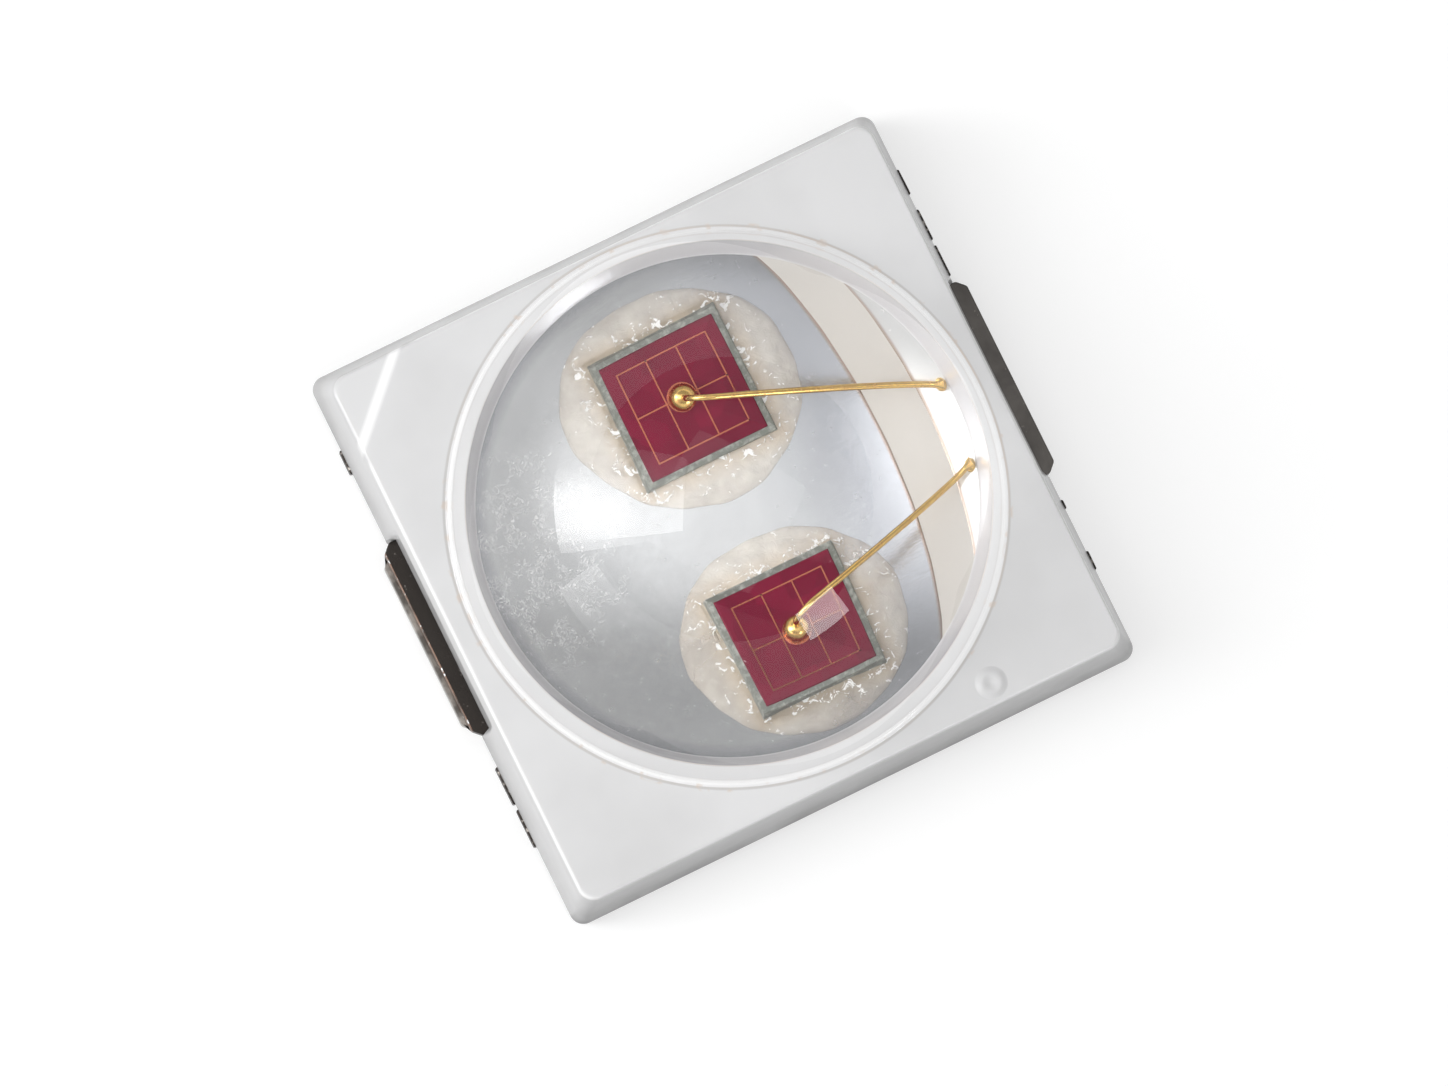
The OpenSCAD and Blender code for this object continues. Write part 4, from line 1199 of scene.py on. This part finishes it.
def lens_skin(sizes, housing):
    """Lens turned about its upright axis: keyed floor and cup filling, foot ring with a rounded edge,
    a fillet that touches both foot ring and sphere, and the spherical dome. The sphere's radius is
    half the chord squared plus the height squared, over twice the height."""
    foot_top = housing.body_height + sizes.foot_thickness
    apex = LENS_HIGH[2]
    outer = (LENS_HIGH[0] - LENS_LOW[0]) / 2
    height = apex - foot_top
    ball = (sizes.dome_radius**2 + height**2) / (2 * height)
    centre = apex - ball
    sink = sizes.sink
    cup = np.array([
        [0.0, LEAD_TOP - sink], [housing.cup_floor_radius * 0.5, LEAD_TOP - sink],
        [housing.cup_floor_radius + sink, LEAD_TOP - sink],
        [housing.cup_top_radius + sink, housing.body_height - sink],
        [outer - FOOT_CHAMFER, housing.body_height - sink],
        [outer, housing.body_height - sink + FOOT_CHAMFER],
    ])
    edge = arc(outer - sizes.foot_edge, foot_top - sizes.foot_edge, sizes.foot_edge, 0, 90, FOOT_POINTS)
    fillet = sizes.foot_fillet
    rise = foot_top + fillet - centre
    fillet_x = math.sqrt((ball + fillet) ** 2 - rise**2)
    touch = math.degrees(math.asin(rise / (ball + fillet)))
    bend = arc(fillet_x, foot_top + fillet, fillet, 270, 180 + touch, FILLET_POINTS)
    dome = arc(0.0, centre, ball, touch, 90, DOME_POINTS)
    dome[-1, 0] = 0.0
    flat = edge[-1] + np.linspace(0, 1, 5)[1:-1, None] * (bend[0] - edge[-1])
    profile = np.concatenate([cup, edge, flat, bend, dome[1:]])
    return lathe(profile[:, 0], profile[:, 1], OPTIC_MIDDLE, LENS_COLUMNS)


# Operators, one for each piece or group of like pieces

class DIODE_OT_housing(bpy.types.Operator):
    """Mould the white housing with its cup, polarity facet and gate mark"""
    bl_idname = "diode.housing"
    bl_label = "Housing"

    def execute(self, context):
        diode = context.scene.diode
        skin = housing_skin(diode.housing, diode.leads)
        finish = moulding_finish(diode.finishes, diode.housing)
        add_piece("moulded_housing", skin, finish, "housing", crease=40)
        return {"FINISHED"}


class DIODE_OT_leads(bpy.types.Operator):
    """Stamp the two plated leads with their cut tabs"""
    bl_idname = "diode.leads"
    bl_label = "Leads"

    def execute(self, context):
        diode = context.scene.diode
        sizes = diode.leads
        finish = lead_finish(diode.finishes, sizes)
        cathode = lead_skin(
            sizes, -1, -CATHODE_LOW[0], sizes.cathode_tab_place, sizes.tab_step_length, sizes.tab_notch
        )
        anode = lead_skin(sizes, 1, ANODE_HIGH[0], sizes.anode_tab_place, 0.0, 0.0)
        add_piece("plated_cathode", cathode, finish, "cathode_lead", crease=30)
        add_piece("plated_anode", anode, finish, "anode_lead", crease=30)
        return {"FINISHED"}


class DIODE_OT_tie_bars(bpy.types.Operator):
    """Cut the six tie bars in the side walls"""
    bl_idname = "diode.tie_bars"
    bl_label = "Tie bars"

    def execute(self, context):
        finish = cut_metal_finish(context.scene.diode.finishes)
        for number, place in enumerate(TIE_BARS):
            node = "tie_bar_" + place
            low, high = corners_of(node)
            shear = notched_bar_skin if high[1] - low[1] > WIDE_BAR else tie_bar_skin
            skin = shear(low, high, number + BAR_SEED)
            add_piece("sheared_bar_" + place, skin, finish, node, crease=40)
        return {"FINISHED"}


class DIODE_OT_adhesive(bpy.types.Operator):
    """Pour the adhesive pools under the chips"""
    bl_idname = "diode.adhesive"
    bl_label = "Adhesive"

    def execute(self, context):
        sizes = context.scene.diode.adhesive
        finish = adhesive_finish(context.scene.diode.finishes)
        halves = {
            "upper": (sizes.upper_length / 2, sizes.upper_width / 2),
            "lower": (sizes.lower_length / 2, sizes.lower_width / 2),
        }
        for number, side in enumerate(CHIP_SIDES):
            low, high = corners_of(side + "_chip_carrier")
            skin = pool_skin(sizes, (low[:2] + high[:2]) / 2, *halves[side], number + POOL_SEED)
            add_piece(side + "_adhesive_pool", skin, finish, side + "_die_attach")
        return {"FINISHED"}


class DIODE_OT_chips(bpy.types.Operator):
    """Saw the carrier dies and lay the red layers and their contacts on them"""
    bl_idname = "diode.chips"
    bl_label = "Chips"

    def execute(self, context):
        sizes = context.scene.diode.chips
        colours = context.scene.diode.finishes
        carrier = carrier_finish(colours)
        red = red_finish(colours)
        copper = gold_finish(colours, "contact_copper", colours.copper)
        for side in CHIP_SIDES:
            low, high = corners_of(side + "_chip_carrier")
            skin = plate_skin(low, high, sizes.edge, CARRIER_FLARE)
            add_piece(side + "_sawn_die", skin, carrier, side + "_chip_carrier", crease=30)
            low, high = corners_of(side + "_emitter")
            low[2] -= LAYER_ROOT
            layer_top = high - [0.0, 0.0, sizes.line_rise]
            skin = plate_skin(low, layer_top, sizes.edge, LAYER_FLARE)
            add_piece(side + "_red_layer", skin, red, side + "_emitter", crease=30)
            skin = contact_skin(sizes, low, high)
            add_piece(side + "_contact_lines", skin, copper, side + "_contact_grid", crease=30)
        return {"FINISHED"}


class DIODE_OT_wires(bpy.types.Operator):
    """Bond the gold wires from the chips to the anode, with their balls and stitch bumps"""
    bl_idname = "diode.wires"
    bl_label = "Bond wires"

    def execute(self, context):
        sizes = context.scene.diode.wires
        colours = context.scene.diode.finishes
        finish = gold_finish(colours, "bright_gold", colours.gold)
        for number, side in enumerate(CHIP_SIDES):
            low, high = corners_of(side + "_emitter")
            bump_low, bump_high = corners_of(side + "_stitch_bump")
            chip = (low[:2] + high[:2]) / 2
            stitch = (bump_low[:2] + bump_high[:2]) / 2
            land = bump_high[2] + sizes.diameter / 2
            skin = wire_skin(sizes, chip, high[2], stitch, land)
            add_piece(side + "_gold_wire", skin, finish, side + "_bond_wire", crease=50)
            skin = bump_skin(bump_low, bump_high, number + BUMP_SEED)
            add_piece(side + "_gold_bump", skin, finish, side + "_stitch_bump", crease=50)
        return {"FINISHED"}


class DIODE_OT_lens(bpy.types.Operator):
    """Cast the clear dome lens over the cup"""
    bl_idname = "diode.lens"
    bl_label = "Lens"

    def execute(self, context):
        diode = context.scene.diode
        skin = lens_skin(diode.lens, diode.housing)
        add_piece("cast_dome", skin, silicone_finish(), "lens", crease=50)
        return {"FINISHED"}


# Stage: floor, camera, lamps and surroundings

VIEW_AZIMUTH = -54.4
VIEW_ELEVATION = 83.3
VIEW_TURN = -26.3
VIEW_DISTANCE = 90 * MM
PIXELS_PER_MM = 178.9
IMAGE_WIDTH = 1448
IMAGE_MIDDLE = (724.0, 543.0)
BODY_PIXEL = (723.03, 519.17)
SENSOR_WIDTH = 36.0

# Radiance of the surroundings, and the gap between the floor and the object
AIR_RADIANCE = 0.4
FLOOR_GAP = 0.02 * MM

# Floor: radii of its level part, start and radius of its rise, and height of its upright edge; the light
# that lifts it to white, at the object and far from it, in millimetres
FLOOR_RADII = np.array([0, 4, 8, 16, 40, 100]) * MM
RISE_START, RISE_RADIUS, EDGE_HEIGHT = 150 * MM, 110 * MM, 40 * MM
LIFT_NEAR, LIFT_FAR = (4.0, 0.57), (120.0, 0.84)

# Each lamp's name, its direction as shares of the view's right, up and back, its distance, width and
# height in millimetres, its radiance, and its fades: an axis of the view, and the shares of light at the
# lamp's first and last point along it
RIGHT, UP = 0, 1
CORE_FADES = ((UP, 2.0, 0.0), (UP, 2.0, 0.0), (UP, 0.2, 3.0), (RIGHT, 2.0, 0.0), (RIGHT, 0.5, 1.5))
LAMPS = (
    ("key_pane", (-0.735, 0.12, 0.66), 45.0, 27, 56, 2.0, ((RIGHT, 0.2, 1.1), (UP, 1.6, 0.4))),
    ("key_core", (-0.766, 0.09, 0.64), 44.1, 29, 36, 3.2, CORE_FADES),
    ("lower_pane", (-0.69, -0.6, 0.41), 45.0, 26, 18, 1.3, ((UP, 0.2, 1.5), (RIGHT, 1.4, 0.2))),
    ("fan_pane", (0.59, -0.61, 0.52), 45.0, 13, 11, 6.5, ()),
    ("fill_pane", (0.55, 0.05, 0.83), 45.0, 34, 40, 0.22, ()),
    ("ceiling_pane", (0.0, 0.0, 1.0), 112.5, 110, 110, 0.64, ()),
)


def view_axes():
    """Right, up and back of the camera: back from azimuth and elevation; right is the level
    direction at the turn angle, tipped until it is square to back."""
    azimuth, elevation, turn = (math.radians(a) for a in (VIEW_AZIMUTH, VIEW_ELEVATION, VIEW_TURN))
    back = Vector((
        math.sin(azimuth) * math.cos(elevation), -math.cos(azimuth) * math.cos(elevation), math.sin(elevation)
    ))
    right = Vector((math.cos(turn), math.sin(turn), 0.0))
    right.z = -(right.x * back.x + right.y * back.y) / back.z
    right.normalize()
    return right, back.cross(right), back


def floor_skin():
    """Paper sweep turned about an upright axis: level near the object, then a quarter circle that
    rises to an upright edge. It is one sheet, open at its edge, with its rings listed inwards so that
    its faces look up."""
    level = np.stack([FLOOR_RADII, np.zeros(len(FLOOR_RADII))], -1)
    rise = arc(RISE_START, RISE_RADIUS, RISE_RADIUS, 270, 360, 16)
    profile = np.concatenate([level, rise, rise[-1:] + [[0.0, EDGE_HEIGHT]]])[::-1]
    rings = turned(profile[:, 0], profile[:, 1] - FLOOR_GAP, (0.0, 0.0), 96)
    return rings.reshape(-1, 3), ring_faces(*rings.shape[:2])


def floor_finish():
    """White paper: a plain matt surface that shows shadows, lifted to the white of the background
    where the camera, a reflection or a refraction sees it, and darker where it lights the object."""
    board, place = material_board("studio_floor")
    path = board.node("LightPath").outputs
    seen = board.most(path["Is Camera Ray"], path["Is Glossy Ray"], path["Is Transmission Ray"])
    colour = board.mix(path["Is Diffuse Ray"], PAPER, PAPER_BOUNCE)
    paper = board.add("BsdfDiffuse", {"Color": colour})
    away = board.add("VectorMath", {0: place}, "Value", operation="LENGTH")
    lift = board.spread(away, LIFT_NEAR[0], LIFT_FAR[0], LIFT_NEAR[1], LIFT_FAR[1])
    glow = board.add("Emission", {"Color": WHITE, "Strength": board.times(seen, lift)})
    return board.end("Material", board.add("AddShader", {0: paper, 1: glow}))


def add_camera(axes):
    """The photograph's camera: at the view distance from the point that puts the body's middle on its
    pixel, with a lens that gives the pixels per millimetre there."""
    right, up, back = axes
    data = bpy.data.cameras.new("photo_camera")
    data.sensor_width = SENSOR_WIDTH
    data.lens = SENSOR_WIDTH * PIXELS_PER_MM * VIEW_DISTANCE / MM / IMAGE_WIDTH
    data.clip_start, data.clip_end = 0.5 * MM, 1.0
    camera = bpy.data.objects.new("photo_camera", data)
    across = (BODY_PIXEL[0] - IMAGE_MIDDLE[0]) / PIXELS_PER_MM * MM
    down = (BODY_PIXEL[1] - IMAGE_MIDDLE[1]) / PIXELS_PER_MM * MM
    aim = Vector((0.0, 0.0, LEAD_TOP)) - right * across + up * down
    turn = Matrix(axes).transposed().to_4x4()
    camera.matrix_world = Matrix.Translation(aim + back * VIEW_DISTANCE) @ turn
    bpy.context.scene.collection.objects.link(camera)
    bpy.context.scene.camera = camera


def add_lamp(axes, name, shares, distance, width, tall, radiance, fades):
    """A soft rectangular lamp that faces the object. Its power is its radiance times pi times its
    area, and the shares of its fades multiply."""
    away = sum((axis * share for axis, share in zip(axes, shares)), Vector()).normalized() * distance * MM
    data = bpy.data.lights.new(name, "AREA")
    data.shape = "RECTANGLE"
    data.size, data.size_y = width * MM, tall * MM
    data.energy = radiance * math.pi * width * tall * MM**2
    lamp = bpy.data.objects.new(name, data)
    lamp.location = away
    lamp.rotation_mode = "QUATERNION"
    lamp.rotation_quaternion = (-away).to_track_quat("-Z", "Y")
    lamp.visible_camera = False
    bpy.context.scene.collection.objects.link(lamp)
    if not fades:
        return
    turn = lamp.rotation_quaternion.to_matrix()
    board = Board(data)
    place = board.add("NewGeometry", output="Position")
    light = []
    for axis, first, last in fades:
        direction = axes[axis]
        along = board.measure("DOT_PRODUCT", place, direction)
        half = (abs(direction.dot(turn.col[0])) * width + abs(direction.dot(turn.col[1])) * tall) / 2 * MM
        middle = away.dot(direction)
        light.append(board.spread(along, middle - half, middle + half, first, last, "SMOOTHSTEP"))
    board.end("Light", board.add("Emission", {"Strength": board.times(*light)}))


class DIODE_OT_stage(bpy.types.Operator):
    """Set up the white floor, the camera, the lamps and the surroundings"""
    bl_idname = "diode.stage"
    bl_label = "Stage"

    def execute(self, context):
        add_mesh("studio_floor", floor_skin(), floor_finish())
        axes = view_axes()
        add_camera(axes)
        for lamp in LAMPS:
            add_lamp(axes, *lamp)
        context.scene.world = bpy.data.worlds.new("studio_air")
        air = Board(context.scene.world)
        air.end("World", air.add("Background", {"Color": WHITE, "Strength": AIR_RADIANCE}))
        context.scene.view_settings.view_transform = "Standard"
        return {"FINISHED"}


class DIODE_PT_pieces(bpy.types.Panel):
    """Lists the diode's pieces in the order in which they are built"""
    bl_idname = "DIODE_PT_pieces"
    bl_label = "Domed Diode"
    bl_space_type = "VIEW_3D"
    bl_region_type = "UI"
    bl_category = "Diode"

    def draw(self, context):
        for operator in OPERATORS:
            self.layout.operator(operator.bl_idname)


OPERATORS = (
    DIODE_OT_housing, DIODE_OT_leads, DIODE_OT_tie_bars, DIODE_OT_adhesive, DIODE_OT_chips,
    DIODE_OT_wires, DIODE_OT_lens, DIODE_OT_stage,
)
CLASSES = (
    HousingSizes, LeadSizes, ChipSizes, AdhesiveSizes, WireSizes, LensSizes, Finishes, DiodeSettings,
) + OPERATORS + (DIODE_PT_pieces,)


def register():
    for kind in CLASSES:
        bpy.utils.register_class(kind)
    bpy.types.Scene.diode = PointerProperty(type=DiodeSettings)


def unregister():
    del bpy.types.Scene.diode
    for kind in reversed(CLASSES):
        bpy.utils.unregister_class(kind)


def main():
    """Builds every piece in order."""
    register()
    for operator in OPERATORS:
        group, name = operator.bl_idname.split(".")
        getattr(getattr(bpy.ops, group), name)()


if __name__ == "__main__":
    main()
